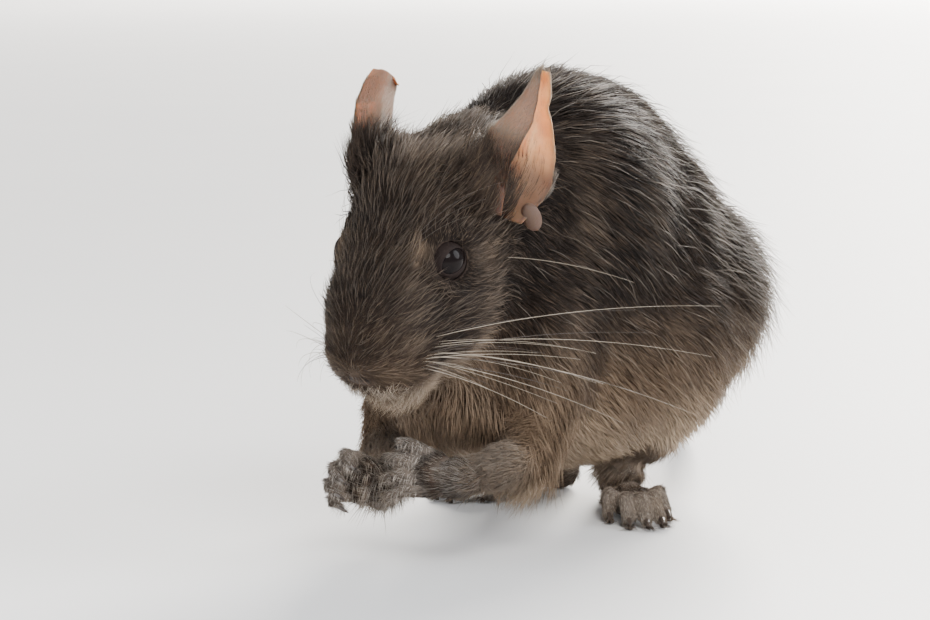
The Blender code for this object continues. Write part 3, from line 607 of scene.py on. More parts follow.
def markings(places, normals, part):
    """Warmth, paleness and darkness of the coat at each place, for the skin and the hairs alike. The low
    haunch is partly painted light, and fingers and toes have painted shade between them.
    """
    f, _, u = places.T
    n_up = normals[:, 2]
    ahead, _, above = to_head(places).T
    head = ramp(ahead_of_nape(places), -12, 12)
    trunk = 1 - head
    patchy = 0.09 * wander(places, 15, 3) + 0.05 * wander(places, 5, 4)

    low = ramp(-u, -55, -19)
    under = ramp(-n_up, 0.05, 0.8) * ramp(-u, -38, -14)
    # Paler low on the haunch: partly the coat's own paler tone, partly painted light, the glow of light
    # shining through the fur from behind.
    haunch_tone_and_glow = ramp(-f, -8, 10) * ramp(-u, -38, -16)
    dark = trunk * (0.95 - 0.85 * low + 0.1 * ramp(n_up, 0.2, 0.9))
    warm = trunk * (0.16 + 0.7 * low)
    pale = trunk * (0.1 * low + 0.55 * under + 0.6 * haunch_tone_and_glow)

    cheek = ramp(-above, 4, 14)
    snout = ramp(ahead, -13, -3)
    bridge = ramp(above, -2, 5) * ramp(ahead, -24, -12)
    jaw = ramp(-above, 7, 13)
    dark = dark + head * (0.97 - 0.62 * jaw - 0.2 * snout * (1 - bridge) - 0.12 * cheek)
    warm = warm + head * (0.22 + 0.4 * jaw + 0.2 * snout + 0.12 * cheek)
    pale = pale + head * (0.12 * jaw)
    for side in SIDES.values():
        brow = np.linalg.norm(places - on_head(mirrored(BROW_PATCH, side)), axis=1)
        below_eye = np.linalg.norm(places - on_head(mirrored(CHEEK_PATCH, side)), axis=1)
        patch = 0.55 * bump_at(brow, 0, 2.2) + 0.25 * bump_at(below_eye, 0, 2.6)
        warm, pale, dark = warm + patch, pale + 0.3 * patch, dark - 0.8 * patch
    chin = part["chin"]
    pale, dark = pale + 0.5 * chin, dark * (1 - chin)
    for kind, values in {**LIMB_MARKS, **PAW_MARKS}.items():
        share = part[kind]
        warm, pale, dark = (old * (1 - share) + new * share for old, new in zip((warm, pale, dark), values))
    # Painted shade between fingers and toes: less pale and darker there.
    pale, dark = pale - 0.5 * part["crease"], dark + 0.7 * part["crease"]
    return np.clip(np.stack([warm + patchy, pale + 0.5 * patchy, dark - patchy], 1), 0, 1)


def off_nose_pad(places):
    """How many of its own radii each place is from the middle of the bare nose pad."""
    return np.linalg.norm((to_head(places) - NOSE_PAD) / NOSE_RADII, axis=1)


def bare_places(places):
    """1 where no hair grows: round the eyeballs, on the nose pad and the nostrils, and under the soles."""
    bare = np.zeros(len(places))
    for eye in EYES.values():
        off = np.linalg.norm(places - eye, axis=1)
        bare = np.maximum(bare, 1 - ramp(off, EYE_RADIUS + 0.3, EYE_RADIUS + 0.6))
    for side in SIDES.values():
        off = np.linalg.norm(places - on_head(mirrored(NOSTRIL, side)), axis=1)
        bare = np.maximum(bare, 1 - ramp(off, 1.0, 1.5))
    bare = np.maximum(bare, 1 - ramp(off_nose_pad(places), 0.8, 1.1))
    return np.maximum(bare, 1 - ramp(places[:, 2], 0.4, 1.2))


def bare_skin(places, part):
    """How bare the skin looks, and how dark: nearly black at the eyes, black in the nostril slits as painted
    shade of the nostril openings, dusky on the paws.
    """
    bare = bare_places(places)
    paws = sum(part[kind] for kind in PAW_MARKS)
    black = bare * (1 - np.clip(paws, 0, 1))
    # The nostril slits stay nearly black: painted shade inside the nostril openings.
    shaded_nostril_slits = []
    for side in SIDES.values():
        off = (to_head(places) - mirrored(NOSTRIL, side)) / NOSTRIL_RADII
        shaded_nostril_slits.append(np.linalg.norm(off, axis=1))
    pad = 1 - ramp(off_nose_pad(places), 0.9, 1.2)
    black = black * (1 - 0.9 * pad * ramp(np.minimum(*shaded_nostril_slits), 0.7, 1.3))
    return np.stack([np.maximum(bare, 0.45 * paws), black, 0 * bare], 1)


def paint(obj, name, values):
    """Stores three numbers on every vertex."""
    layer = obj.data.attributes.new(name, "FLOAT_COLOR", "POINT")
    filled = np.ones((len(values), 4), np.float32)
    filled[:, :3] = values
    layer.data.foreach_set("color", filled.ravel())


def bm_arrays(bm):
    """Points and faces of a bmesh, as lists."""
    bm.verts.index_update()
    return np.array([tuple(v.co) for v in bm.verts]), [tuple(v.index for v in f.verts) for f in bm.faces]


def pad_flesh(side):
    """What fills the hollow of a whisker pad in the head: the hull of the hollow, and the pad's bulge."""
    head = to_body(arrays_of(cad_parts["head"].data)[0])
    off = (to_head(head) - mirrored(PAD_CENTRE, side)) / (np.array(PAD_RADII) + 0.15)
    walls = head[np.abs(np.linalg.norm(off, axis=1) - 1) < 0.06]
    bm = bmesh.new()
    for place in to_row(walls):
        bm.verts.new(place)
    bmesh.ops.convex_hull(bm, input=bm.verts[:])
    bmesh.ops.delete(bm, geom=[v for v in bm.verts if not v.link_faces], context="VERTS")
    hull = bm_arrays(bm)
    bm.clear()
    bmesh.ops.create_icosphere(bm, subdivisions=3, radius=1.0)
    ball, faces = bm_arrays(bm)
    bm.free()
    places = np.array([on_head(mirrored(PAD_BULGE, side) + spot) for spot in ball * BULGE_RADII])
    return [hull, (to_row(places), faces)]


def melted_shells():
    """The trunk's skin and each paw's, as meshes that reach a little outside the solids."""
    count = len(TAIL) - 1
    radii = [max(0.6, (tail_radius(i / count) - 0.1)) * MM for i in range(count + 1)]
    tail = tube_mesh(to_row(TAIL), radii, sides=16)
    pads = [piece for side in SIDES.values() for piece in pad_flesh(side)]
    shells = [melted("trunk_skin", TRUNK, BODY_VOXEL, CLOSING * MM, [tail, *pads])]
    for paw in PAWS:
        radii = np.array(STUMP_RADII[paw.split("_")[0]]) * MM
        stump = tube_mesh(to_row(np.linspace(*STUMPS[paw], len(radii))), radii, sides=16)
        shells.append(melted(paw + "_skin", [paw], PAW_VOXEL, CLOSING * MM, [stump]))
    return shells


def drawn_in(mesh, is_trunk):
    """The places of a shell once it is evened out and drawn in by the coat's depth, less on face and paws."""
    before = to_body(arrays_of(mesh)[0])
    calm = np.full(len(before), PAW_CALM)
    if is_trunk:
        near_face = ramp(to_head(before)[:, 0], -34, -26)
        calm = TRUNK_CALM * (1 - 0.86 * near_face)
    evened = relaxed(mesh, TRUNK_ROUNDS if is_trunk else PAW_ROUNDS, calm)
    mesh.vertices.foreach_set("co", evened.astype(np.float32).ravel())
    mesh.update()
    points, normals, _ = arrays_of(mesh)
    places = to_body(points)
    part = coat_fields(places, turned_to_body(normals))[0]
    depth = recipe_at(part)[:, 3]
    depth *= 0.1 + 0.9 * ramp(from_eyes(places), 4.8, 9.0)
    points -= normals * (depth[:, None] + CLOSING) * MM
    points[:, 2] = np.maximum(points[:, 2], 0.0)
    return points


def lay_skin():
    """The bare skin under the coat, one object over all the flesh."""
    every_point, every_face, start = [], [], 0
    for number, mesh in enumerate(melted_shells()):
        points = drawn_in(mesh, number == 0)
        faces = np.empty(len(mesh.loops), np.int32)
        mesh.loops.foreach_get("vertex_index", faces)
        every_point.append(points)
        every_face.append(faces.reshape(-1, 4) + start)
        start += len(points)
        bpy.data.meshes.remove(mesh)
    skin = mesh_of("skin", np.vstack(every_point), np.vstack(every_face))
    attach(skin, "root")
    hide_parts(*TRUNK, *PAWS, *PADS, "tail_tip")
    return skin


# Hairs

# A hair's faces, how far along it each corner is, and its patch on the map, for bent and straight hairs
BENT_HAIR = (
    [(0, 2, 1), (0, 1, 4), (0, 4, 3), (1, 2, 5), (1, 5, 4)]
    + [(2, 0, 3), (2, 3, 5), (3, 4, 6), (4, 5, 6), (5, 3, 6)],
    (0, 0, 0, 0.45, 0.45, 0.45, 1),
    [(-0.5, 0), (0, 0), (0.5, 0), (-0.4, 0.45), (0, 0.45), (0.4, 0.45), (0, 1)],
)
STRAIGHT_HAIR = (
    [(0, 2, 1), (0, 1, 3), (1, 2, 3), (2, 0, 3)],
    (0, 0, 0, 1),
    [(-0.5, 0), (0, 0), (0.5, 0), (0, 1)],
)
HAIR_RIM = ((1.0, 0.0), (-0.5, 0.5), (-0.5, -0.5))
BEND = 0.45
DEEPEST_ROOT, ROOT_SHARE = 0.25, 0.045
CLUMP_OF, CLUMP_REACH, CLUMP_SPREAD = 14, 3.0, 0.22
FLOOR_GAP = 0.15
PATCH = 0.003
LARGEST_PIECE = 190000


def scatter(points, normals, triangles, density, total, fields):
    """Roots spread over the skin in step with a density, with the fields' values at each root."""
    a, b, c = (points[triangles[:, k]] for k in range(3))
    area = 0.5 * np.linalg.norm(np.cross(b - a, c - a), axis=1)
    weight = area * density[triangles].mean(1)
    reach = np.cumsum(weight)
    picks = (np.arange(total) + LUCK.random(total)) / total * reach[-1]
    chosen = np.minimum(np.searchsorted(reach, picks), len(triangles) - 1)
    u, v = LUCK.random(total), LUCK.random(total)
    u, v = np.where(u + v > 1, 1 - u, u), np.where(u + v > 1, 1 - v, v)
    shares = np.stack([1 - u - v, u, v], 1)
    corners = triangles[chosen]

    def blended(values):
        return (values[corners] * shares.reshape(-1, 3, *[1] * (values.ndim - 1))).sum(1)

    return blended(points), unit(blended(normals)), [blended(values) for values in fields]


def chart_places(places, normals, owner):
    """An unwrap by shape: for each limb, and for trunk and head together, six flat charts side by side, one
    for each way that the skin faces."""
    axis = np.abs(normals).argmax(1)
    way = axis * 2 + (np.take_along_axis(normals, axis[:, None], 1)[:, 0] > 0)
    chart = (owner + 2) * 6 + way
    flat = np.empty((len(places), 2))
    for k, (i, j) in enumerate(((1, 2), (0, 2), (0, 1))):
        some = axis == k
        flat[some] = places[some][:, (i, j)]
    names, index = np.unique(chart, return_inverse=True)
    low = np.array([flat[index == k].min(0) for k in range(len(names))])
    high = np.array([flat[index == k].max(0) for k in range(len(names))])
    size = high - low
    corner = np.zeros_like(low)
    order = np.argsort(-size[:, 1])
    sheet = 1.25 * math.sqrt((size[:, 0] * size[:, 1]).sum())
    x = y = row = 0.0
    for k in order:
        if x + size[k, 0] > sheet and x > 0:
            x, y, row = 0.0, y + row + 2.0, 0.0
        corner[k] = (x, y)
        x += size[k, 0] + 2.0
        row = max(row, size[k, 1])
    return (flat - low[index] + corner[index]) / (max(sheet, y + row) * 1.02)


def clumped(base, middle, tip, clump):
    """The middles and tips of hairs, drawn toward those of the nearest leading hair."""
    total = len(base)
    leaders = LUCK.choice(total, total // CLUMP_OF, replace=False)
    tree = KDTree(len(leaders))
    for k, leader in enumerate(leaders):
        tree.insert(base[leader], k)
    tree.balance()
    nearest = leaders[[tree.find(p)[1] for p in base]]
    spread = LUCK.normal(0, CLUMP_SPREAD * MM, (total, 3))
    pull = clump[:, None] * LUCK.uniform(0.5, 1.0, (total, 1))
    close = np.linalg.norm(base[nearest] - base, axis=1)[:, None] < CLUMP_REACH * MM
    tip = np.where(close, tip + pull * (tip[nearest] + spread - tip), tip)
    middle = np.where(close, middle + 0.4 * pull * (middle[nearest] + spread - middle), middle)
    return middle, tip


def hair_points(roots, normals, lies, sizes, clump, bent):
    """The corners of every hair, from its sizes: length, width, lift and droop."""
    length, width, lift, droop = sizes
    lies = unit(lies - (lies * normals).sum(1, keepdims=True) * normals)
    rise = np.radians(lift)[:, None]
    first = unit(np.cos(rise) * lies + np.sin(rise) * normals)
    side = unit(np.cross(normals, first))
    over = np.cross(first, side)
    second = unit(first - normals * np.sin(rise * droop[:, None]))
    base = roots - normals * (np.minimum(DEEPEST_ROOT, ROOT_SHARE * length) * MM)[:, None]
    long = (length * MM)[:, None]
    middle = base + first * long * BEND
    tip = middle + second * long * (1 - BEND)
    if clump is not None:
        middle, tip = clumped(base, middle, tip, clump)
    half = (0.5 * width * MM)[:, None]
    rows = [base + half * (a * side + b * over) for a, b in HAIR_RIM]
    if bent:
        rows += [middle + 0.8 * half * (a * side + b * over) for a, b in HAIR_RIM]
    points = np.stack([*rows, tip], 1)
    points[..., 2] = np.maximum(points[..., 2], FLOOR_GAP * MM)
    return points


def make_hairs(name, material, bent, roots, normals, lies, sizes, luck, marks, charts, clump=None):
    """Hairs as closed three-sided spikes, as one or more pieces. The sizes are in millimetres and degrees."""
    points = hair_points(roots, normals, lies, sizes, clump, bent)
    shape, reach, spots = BENT_HAIR if bent else STRAIGHT_HAIR
    corners = len(reach)
    parts = max(1, math.ceil(len(roots) / (LARGEST_PIECE // len(shape))))
    order = np.argsort(roots[:, 1], kind="stable")
    for number, chosen in enumerate(np.array_split(order, parts)):
        some = points[chosen].reshape(-1, 3)
        faces = (np.array(shape)[None] + np.arange(len(chosen))[:, None, None] * corners).reshape(-1, 3)
        piece = mesh_of(f"{name}_{number + 1}" if parts > 1 else name, some, faces)
        paint(piece, "marks", np.repeat(marks[chosen], corners, 0))
        strand = np.zeros((len(chosen), corners, 3), np.float32)
        strand[..., 0] = reach
        strand[..., 1] = luck[chosen][:, None]
        paint(piece, "strand", strand.reshape(-1, 3))
        chart = piece.data.uv_layers.new(name="OFBake", do_init=False)
        spot = charts[chosen][:, None] + (np.array(spots) - (0, 0.5)) * PATCH
        chart.data.foreach_set("uv", spot.reshape(-1, 2)[faces.ravel()].astype(np.float32).ravel())
        piece.data.materials.append(material)
        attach(piece, "root")


# The layers of the coat: hairs, whether bent, the factors of length, width and clumping, the lift added and
# the scatter, and what is added to warmth, paleness and darkness
LAYERS = {
    "coat_trunk": (56000, True, (1.0, 1.0, 1.0), (0, 0.1), (0, 0, 0)),
    "coat_fine": (133000, False, (1.0, 1.0, 1.0), (0, 0.1), (0, 0, 0)),
    "guard_trunk": (4000, True, (1.35, 0.85, 0), (10, 0.14), (0, 0.2, 0)),
    "guard_face": (3200, True, (1.4, 1.0, 0), (6, 0.16), (0.1, 0.1, -0.1)),
    "lip_fringe": (2600, True, (1.3, 0.85, 0.4), (14, 0.2), (0, 0.85, -0.8)),
    "chest_fringe": (3000, True, (1.5, 1.0, 0.8), (26, 0.14), (0, 0.05, 0)),
    "eye_fringe": (1500, True, (1.25, 0.8, 0), (0, 0.12), (0, 0, 0.2)),
    "elbows": (2600, True, (0.8, 0.9, 0.6), (6, 0.2), (0, 0, 0)),
    "cuffs": (2600, True, (1.6, 1.0, 0.5), (0, 0.1), (0, 0, 0)),
    "ear_tufts": (5800, True, (1.95, 0.95, 0.8), (20, 0.16), (0.1, 0.0, 0)),
}
LIP_LIE, CHEST_LIE = (0.42, 0.0, -1.0), (0.2, 0.1, -1.0)
TUFT_SPOTS = ((5.5, 3.5), (0.5, 5.0))
# Hairs on the paws are streaked pale and dark by these steps of paleness
PAW_STREAKS = (-0.3, -0.2, 0.4)


class Ground:
    """The bare skin with all that the hairs need to know at each of its vertices."""

    def __init__(self, skin):
        self.points, self.normals, self.triangles = arrays_of(skin.data)
        self.places, self.ways = to_body(self.points), turned_to_body(self.normals)
        self.head_places = to_head(self.places)
        self.part, lie, self.owner = coat_fields(self.places, self.ways)
        self.lie = turned_to_row(unit(lie))
        self.recipe = recipe_at(self.part)
        self.marks = markings(self.places, self.ways, self.part)
        self.hairy = 1 - bare_places(self.places)
        self.tree = KDTree(len(self.points))
        for number, point in enumerate(self.points):
            self.tree.insert(point, number)
        self.tree.balance()

    def grow(self, name, density, material, lie=None):
        """One layer of the coat where the density is, along the coat's lie or a lie of its own."""
        total, bent, (longer, wider, clumping), (lift_more, scattered), marks = LAYERS[name]
        fields = [self.lie if lie is None else lie, self.recipe, self.marks, self.owner.astype(float)]
        found = scatter(self.points, self.normals, self.triangles, density * self.hairy, total, fields)
        roots, outs, (lies, numbers, tones, who) = found
        spot = to_body(roots)
        owner = np.round(who).astype(int)
        paws = np.isin(owner, PAW_LIMBS)
        sway = np.stack([wander(spot, 14, 5), wander(spot, 11, 6), wander(spot, 12, 7)], 1)
        sway = 0.16 * sway + LUCK.normal(0, scattered, (total, 3))
        lies = unit(lies) + sway * np.where(paws, 0.3, 1.0)[:, None]
        length = longer * numbers[:, 0] * LUCK.uniform(0.7, 1.12, total)
        length = length * (0.3 + 0.7 * ramp(from_eyes(spot), 4.2, 8.0))
        width = wider * numbers[:, 1] * LUCK.uniform(0.75, 1.2, total)
        lift = np.maximum(4, lift_more + numbers[:, 2] + LUCK.normal(0, 5, total) + 4 * wander(spot, 9, 8))
        tones[:, 1] += paws * LUCK.choice(PAW_STREAKS, total)
        sizes = (length, width, lift, LUCK.uniform(0.4, 1.1, total))
        tones = np.clip(tones + marks, 0, 1)
        charts = chart_places(spot, turned_to_body(outs), owner)
        luck, clump = LUCK.random(total), clumping * numbers[:, 5]
        make_hairs(name, material, bent, roots, outs, lies, sizes, luck, tones, charts, clump)


def lip_edge(ground):
    """1 along the edge of the upper lip."""
    ahead, beside, above = ground.head_places.T
    return ramp(-above, 2.8, 4.4) * ramp(ahead, -12, -8) * (1 - ramp(np.abs(beside), 6.5, 8.5))


def under_chest(ground, short):
    """1 on the overhang of the chest behind the left arm."""
    f, left, u = ground.places.T
    between = ramp(f, 30, 36) * (1 - ramp(f, 54, 60)) * ramp(left, -8, -2) * (1 - ramp(left, 20, 25))
    between = between * (1 - ramp(u, 30, 38))
    return between * ramp(-ground.ways[:, 2], 0.0, 0.4) * (1 - ramp(short, 0.2, 0.6))


def arm_and_leg_ends(ground):
    """1 round the wrists and ankles, 1 on the elbows, and the lie of the coat turned down the forearms."""
    places = ground.places
    cuffs, elbows, down_arm = np.zeros(len(places)), np.zeros(len(places)), ground.lie.copy()
    for number, (kind, chains) in enumerate(LIMBS):
        if kind in PAW_OF:
            mine = np.flatnonzero(ground.owner == number)
            cuffs[mine] = bump_at(limb_field(places[mine], chains)[2], 0.93, 0.13)
        if kind == "forearm":
            elbow = chains[0][0][0]
            near = np.flatnonzero(np.linalg.norm(places - elbow, axis=1) < 14)
            off, way, along = limb_field(places[near], chains)
            upper = ramp(ground.ways[near, 2], -0.5, 0.2)
            elbows[near] = (1 - ramp(off, 2.0, 4.5)) * (1 - ramp(along, 0.4, 0.65)) * upper
            down_arm[near] = turned_to_row(way)
    return cuffs, elbows, down_arm


def below_ears(ground):
    """1 at the front of the ears' roots, and a lie up over the ears' lower openings."""
    tufts, upward = np.zeros(len(ground.places)), np.zeros((len(ground.places), 3))
    for side in SIDES.values():
        root, axes = ear_axes(side)
        off = (ground.places - root) @ axes.T
        near = [bump_at(np.linalg.norm(off - (-2, a * side, b), axis=1), 0, 3.8) for a, b in TUFT_SPOTS]
        near = np.maximum(*near)
        tufts = np.maximum(tufts, near)
        across = unit(np.array((-0.55 * AHEAD[0], 0.25 * side, -0.55 * AHEAD[2])))
        upward[near > 0.02] = turned_to_row(1.0 * axes[0] + 0.3 * across + 0.15 * axes[2])
    return tufts, upward


def grow_coat(ground, material):
    """The coat: long bent hairs on the trunk, short fine ones on head and limbs, guard hairs and fringes."""
    part = ground.part
    short = np.clip(sum(part[name] for name in SHORT_COATED), 0, 1)
    thick = ground.recipe[:, 4]
    ground.grow("coat_trunk", thick * ramp(1 - short, 0.3, 0.7), material)
    ground.grow("coat_fine", thick * ramp(short, 0.3, 0.7), material)
    trunk = np.clip(part["back"] + part["rump"] + 0.5 * part["flank"] + 0.5 * part["neck"], 0, 1)
    ground.grow("guard_trunk", trunk * (0.12 + part["rump"]), material)
    ground.grow("guard_face", np.clip(part["face"] + part["crown"] + part["muzzle"], 0, 1), material)
    rows = (len(ground.places), 1)
    down, hang = (np.tile(turned_to_row(np.array(way)), rows) for way in (LIP_LIE, CHEST_LIE))
    ground.grow("lip_fringe", lip_edge(ground), material, down)
    ground.grow("chest_fringe", under_chest(ground, short), material, hang)
    ground.grow("eye_fringe", bump_at(from_eyes(ground.places), 4.9, 0.6), material)
    cuffs, elbows, down_arm = arm_and_leg_ends(ground)
    ground.grow("elbows", elbows, material, down_arm)
    ground.grow("cuffs", cuffs, material)
    tufts, upward = below_ears(ground)
    ground.grow("ear_tufts", tufts, material, upward)


# Materials

def new_material(name, roughness, specular=0.5):
    """A material with its Principled shader, ready for nodes."""
    material = bpy.data.materials.new(name)
    material.use_nodes = True
    shader = material.node_tree.nodes["Principled BSDF"]
    shader.inputs["Roughness"].default_value = roughness
    shader.inputs["Specular IOR Level"].default_value = specular
    return material, material.node_tree, shader


def node(tree, kind, settings=None, **inputs):
    """A node with its settings. Its inputs, by name or as i0, i1 and so on, take values or sockets."""
    made = tree.nodes.new(kind)
    for key, value in (settings or {}).items():
        setattr(made, key, value)
    for key, value in inputs.items():
        numbered = key[0] == "i" and key[1:].isdigit()
        socket = made.inputs[int(key[1:]) if numbered else key.replace("_", " ")]
        if isinstance(value, bpy.types.NodeSocket):
            tree.links.new(value, socket)
        else:
            socket.default_value = value
    return made


def mixed(tree, share, first, second):
    """One colour over another by a share."""
    mix = node(tree, "ShaderNodeMix", {"data_type": "RGBA"}, i0=share, i6=first, i7=second)
    return mix.outputs[2]


def stepped(tree, value, low, high, to_low=0.0, to_high=1.0):
    """A value mapped softly from one range to another."""
    ends = {"From_Min": low, "From_Max": high, "To_Min": to_low, "To_Max": to_high}
    made = node(tree, "ShaderNodeMapRange", {"interpolation_type": "SMOOTHSTEP"}, Value=value, **ends)
    return made.outputs["Result"]


def maths(tree, operation, first, second):
    """One sum, product or the like of two values."""
    return node(tree, "ShaderNodeMath", {"operation": operation}, i0=first, i1=second).outputs[0]


def object_coords(tree):
    """Places on the object, for noise that stays with it."""
    return node(tree, "ShaderNodeTexCoord").outputs["Object"]


def clouded(tree, coords, scale, detail):
    """A value that changes unevenly over the surface."""
    return node(tree, "ShaderNodeTexNoise", Vector=coords, Scale=scale, Detail=detail).outputs["Fac"]


def add_relief(tree, shader, height, strength, depth):
    """Fine bumps from a height, as deep as given in metres."""
    bump = node(tree, "ShaderNodeBump", Strength=strength, Distance=depth, Height=height)
    tree.links.new(bump.outputs["Normal"], shader.inputs["Normal"])


# The coat's colours
BROWN = (0.04, 0.028, 0.0215, 1)
DARK = (0.0098, 0.0079, 0.0078, 1)
TAWNY = (0.165, 0.105, 0.064, 1)
CREAM = (0.5, 0.38, 0.265, 1)
ASHEN = (0.42, 0.375, 0.33, 1)
BAND = (0.21, 0.145, 0.095, 1)
SOOT = (0.007, 0.006, 0.006, 1)


def agouti_group():
    """The coat's colour from its markings, the height along a hair and each hair's own luck."""
    tree = bpy.data.node_groups.new("agouti colour", "ShaderNodeTree")
    tree.interface.new_socket("Markings", in_out="INPUT", socket_type="NodeSocketColor")
    for word in ("Along", "Luck"):
        tree.interface.new_socket(word, in_out="INPUT", socket_type="NodeSocketFloat")
    tree.interface.new_socket("Colour", in_out="OUTPUT", socket_type="NodeSocketColor")
    inputs, outputs = tree.nodes.new("NodeGroupInput"), tree.nodes.new("NodeGroupOutput")
    marks = node(tree, "ShaderNodeSeparateColor", Color=inputs.outputs["Markings"])
    warm, pale, dark = marks.outputs
    along, luck = inputs.outputs["Along"], inputs.outputs["Luck"]
    colour = mixed(tree, dark, BROWN, DARK)
    tawny = maths(tree, "MULTIPLY", warm, stepped(tree, dark, 0.2, 1.0, 1.0, 0.35))
    colour = mixed(tree, tawny, colour, TAWNY)
    colour = mixed(tree, pale, colour, mixed(tree, warm, ASHEN, CREAM))
    banded = maths(tree, "MULTIPLY", stepped(tree, along, 0.35, 0.6), stepped(tree, along, 0.95, 0.7))
    banded = maths(tree, "MULTIPLY", banded, stepped(tree, luck, 0.5, 0.85, 0.0, 0.75))
    banded = maths(tree, "MULTIPLY", banded, stepped(tree, dark, 0.1, 1.0, 1.0, 0.34))
    colour = mixed(tree, banded, colour, BAND)
    tipped = maths(tree, "MULTIPLY", stepped(tree, along, 0.75, 0.98), stepped(tree, luck, 0.5, 0.1))
    tipped = maths(tree, "MULTIPLY", tipped, stepped(tree, pale, 0.3, 0.7, 0.7, 0.0))
    colour = mixed(tree, tipped, colour, SOOT)
    roots = stepped(tree, along, 0.0, 0.4, 0.45, 0.0)
    colour = mixed(tree, roots, colour, SOOT)
    tree.links.new(colour, outputs.inputs["Colour"])
    return tree


def attribute(tree, name):
    """What was painted on the mesh under a name."""
    return node(tree, "ShaderNodeAttribute", {"attribute_name": name}).outputs["Color"]


def coat_material(group):
    """The hairs: the agouti colour of each, from its root to its tip."""
    material, tree, shader = new_material("coat hairs", 0.58, 0.12)
    strand = node(tree, "ShaderNodeSeparateColor", Color=attribute(tree, "strand"))
    placed = node(tree, "ShaderNodeGroup", {"node_tree": group})
    tree.links.new(attribute(tree, "marks"), placed.inputs["Markings"])
    tree.links.new(strand.outputs[0], placed.inputs["Along"])
    tree.links.new(strand.outputs[1], placed.inputs["Luck"])
    tree.links.new(placed.outputs["Colour"], shader.inputs["Base Color"])
    return material


def skin_material(group):
    """Skin under the coat: the coat's colours as fine short fur, bare and dusky on nose, lids and soles, with
    painted shade nearly black in the nostril slits.
    """
    material, tree, shader = new_material("furred skin", 0.8, 0.15)
    coords = object_coords(tree)
    grain = clouded(tree, coords, 2600.0, 4.0)
    placed = node(tree, "ShaderNodeGroup", {"node_tree": group}, Along=0.3)
    tree.links.new(attribute(tree, "marks"), placed.inputs["Markings"])
    tree.links.new(grain, placed.inputs["Luck"])
    bare, black, _ = node(tree, "ShaderNodeSeparateColor", Color=attribute(tree, "bare")).outputs
    blotches = clouded(tree, coords, 700.0, 3.0)
    dusky = mixed(tree, stepped(tree, blotches, 0.35, 0.65), (0.03, 0.02, 0.015, 1), (0.075, 0.048, 0.034, 1))
    # Nearly black round the eyes, and in the nostril slits as painted shade of the nostril openings.
    dusky = mixed(tree, black, dusky, (0.014, 0.009, 0.008, 1))
    tree.links.new(mixed(tree, bare, placed.outputs["Colour"], dusky), shader.inputs["Base Color"])
    add_relief(tree, shader, grain, 0.5, 0.0004)
    tree.links.new(stepped(tree, bare, 0.45, 1.0, 0.85, 0.55), shader.inputs["Roughness"])
    return material


def eye_material():
    """A nearly black, wet eyeball."""
    material, tree, shader = new_material("wet eye", 0.04, 0.07)
    coords = object_coords(tree)
    cloud = clouded(tree, coords, 500.0, 2.0)
    colour = mixed(tree, cloud, (0.003, 0.003, 0.004, 1), (0.012, 0.008, 0.007, 1))
    tree.links.new(colour, shader.inputs["Base Color"])
    return material


def lid_material():
    """The dark creased skin of the lids."""
    material, tree, shader = new_material("lid skin", 0.7, 0.1)
    coords = object_coords(tree)
    folds = clouded(tree, coords, 1800.0, 5.0)
    colour = mixed(tree, folds, (0.007, 0.005, 0.005, 1), (0.022, 0.014, 0.012, 1))
    tree.links.new(colour, shader.inputs["Base Color"])
    add_relief(tree, shader, folds, 0.6, 0.0003)
    return material


def ear_material():
    """Thin warm skin that light shines through, browner at the rim and the root, with faint veins."""
    material, tree, shader = new_material("ear skin", 0.6, 0.2)
    coords = object_coords(tree)
    rim, root, outer = node(tree, "ShaderNodeSeparateColor", Color=attribute(tree, "ear")).outputs
    blotches = clouded(tree, coords, 260.0, 4.0)
    ridged = {"noise_type": "RIDGED_MULTIFRACTAL"}
    veins = node(tree, "ShaderNodeTexNoise", ridged, Vector=coords, Scale=160.0, Detail=3.0)
    skin = mixed(tree, stepped(tree, blotches, 0.3, 0.7), (0.46, 0.22, 0.095, 1), (0.6, 0.33, 0.165, 1))
    skin = mixed(tree, stepped(tree, veins.outputs["Fac"], 0.7, 1.2, 0.0, 0.5), skin, (0.24, 0.075, 0.04, 1))
    skin = mixed(tree, maths(tree, "MULTIPLY", outer, 0.88), skin, (0.15, 0.1, 0.073, 1))
    skin = mixed(tree, stepped(tree, rim, 0.3, 1.0, 0.0, 0.75), skin, (0.11, 0.06, 0.04, 1))
    skin = mixed(tree, stepped(tree, root, 0.0, 1.0, 0.0, 0.8), skin, (0.05, 0.031, 0.026, 1))
    tree.links.new(skin, shader.inputs["Base Color"])
    shader.inputs["Subsurface Weight"].default_value = 0.65
    shader.inputs["Subsurface Radius"].default_value = (1.0, 0.58, 0.32)
    shader.inputs["Subsurface Scale"].default_value = 0.0022
    add_relief(tree, shader, clouded(tree, coords, 1500.0, 4.0), 0.35, 0.0003)
    return material


def horn_material():
    """Dark streaked claw horn."""
    material, tree, shader = new_material("claw horn", 0.3, 0.5)
    coords = object_coords(tree)
    streaks = clouded(tree, coords, 1200.0, 3.0)
    colour = mixed(tree, streaks, (0.02, 0.015, 0.013, 1), (0.1, 0.075, 0.06, 1))
    tree.links.new(colour, shader.inputs["Base Color"])
    return material


def whisker_material():
    """Pale and dark whiskers, by the number painted on each."""
    material, tree, shader = new_material("whisker", 0.35, 0.5)
    strand = node(tree, "ShaderNodeSeparateColor", Color=attribute(tree, "strand"))
    colour = mixed(tree, strand.outputs[1], (0.5, 0.43, 0.34, 1), (0.04, 0.03, 0.026, 1))
    tree.links.new(colour, shader.inputs["Base Color"])
    return material


# Eyes and lids

LID_WIDTH, LID_HEIGHT, LID_RIM = 2.85, 2.0, 3.95
LID_CORNER = math.radians(202.0)
LID_STEPS = 72
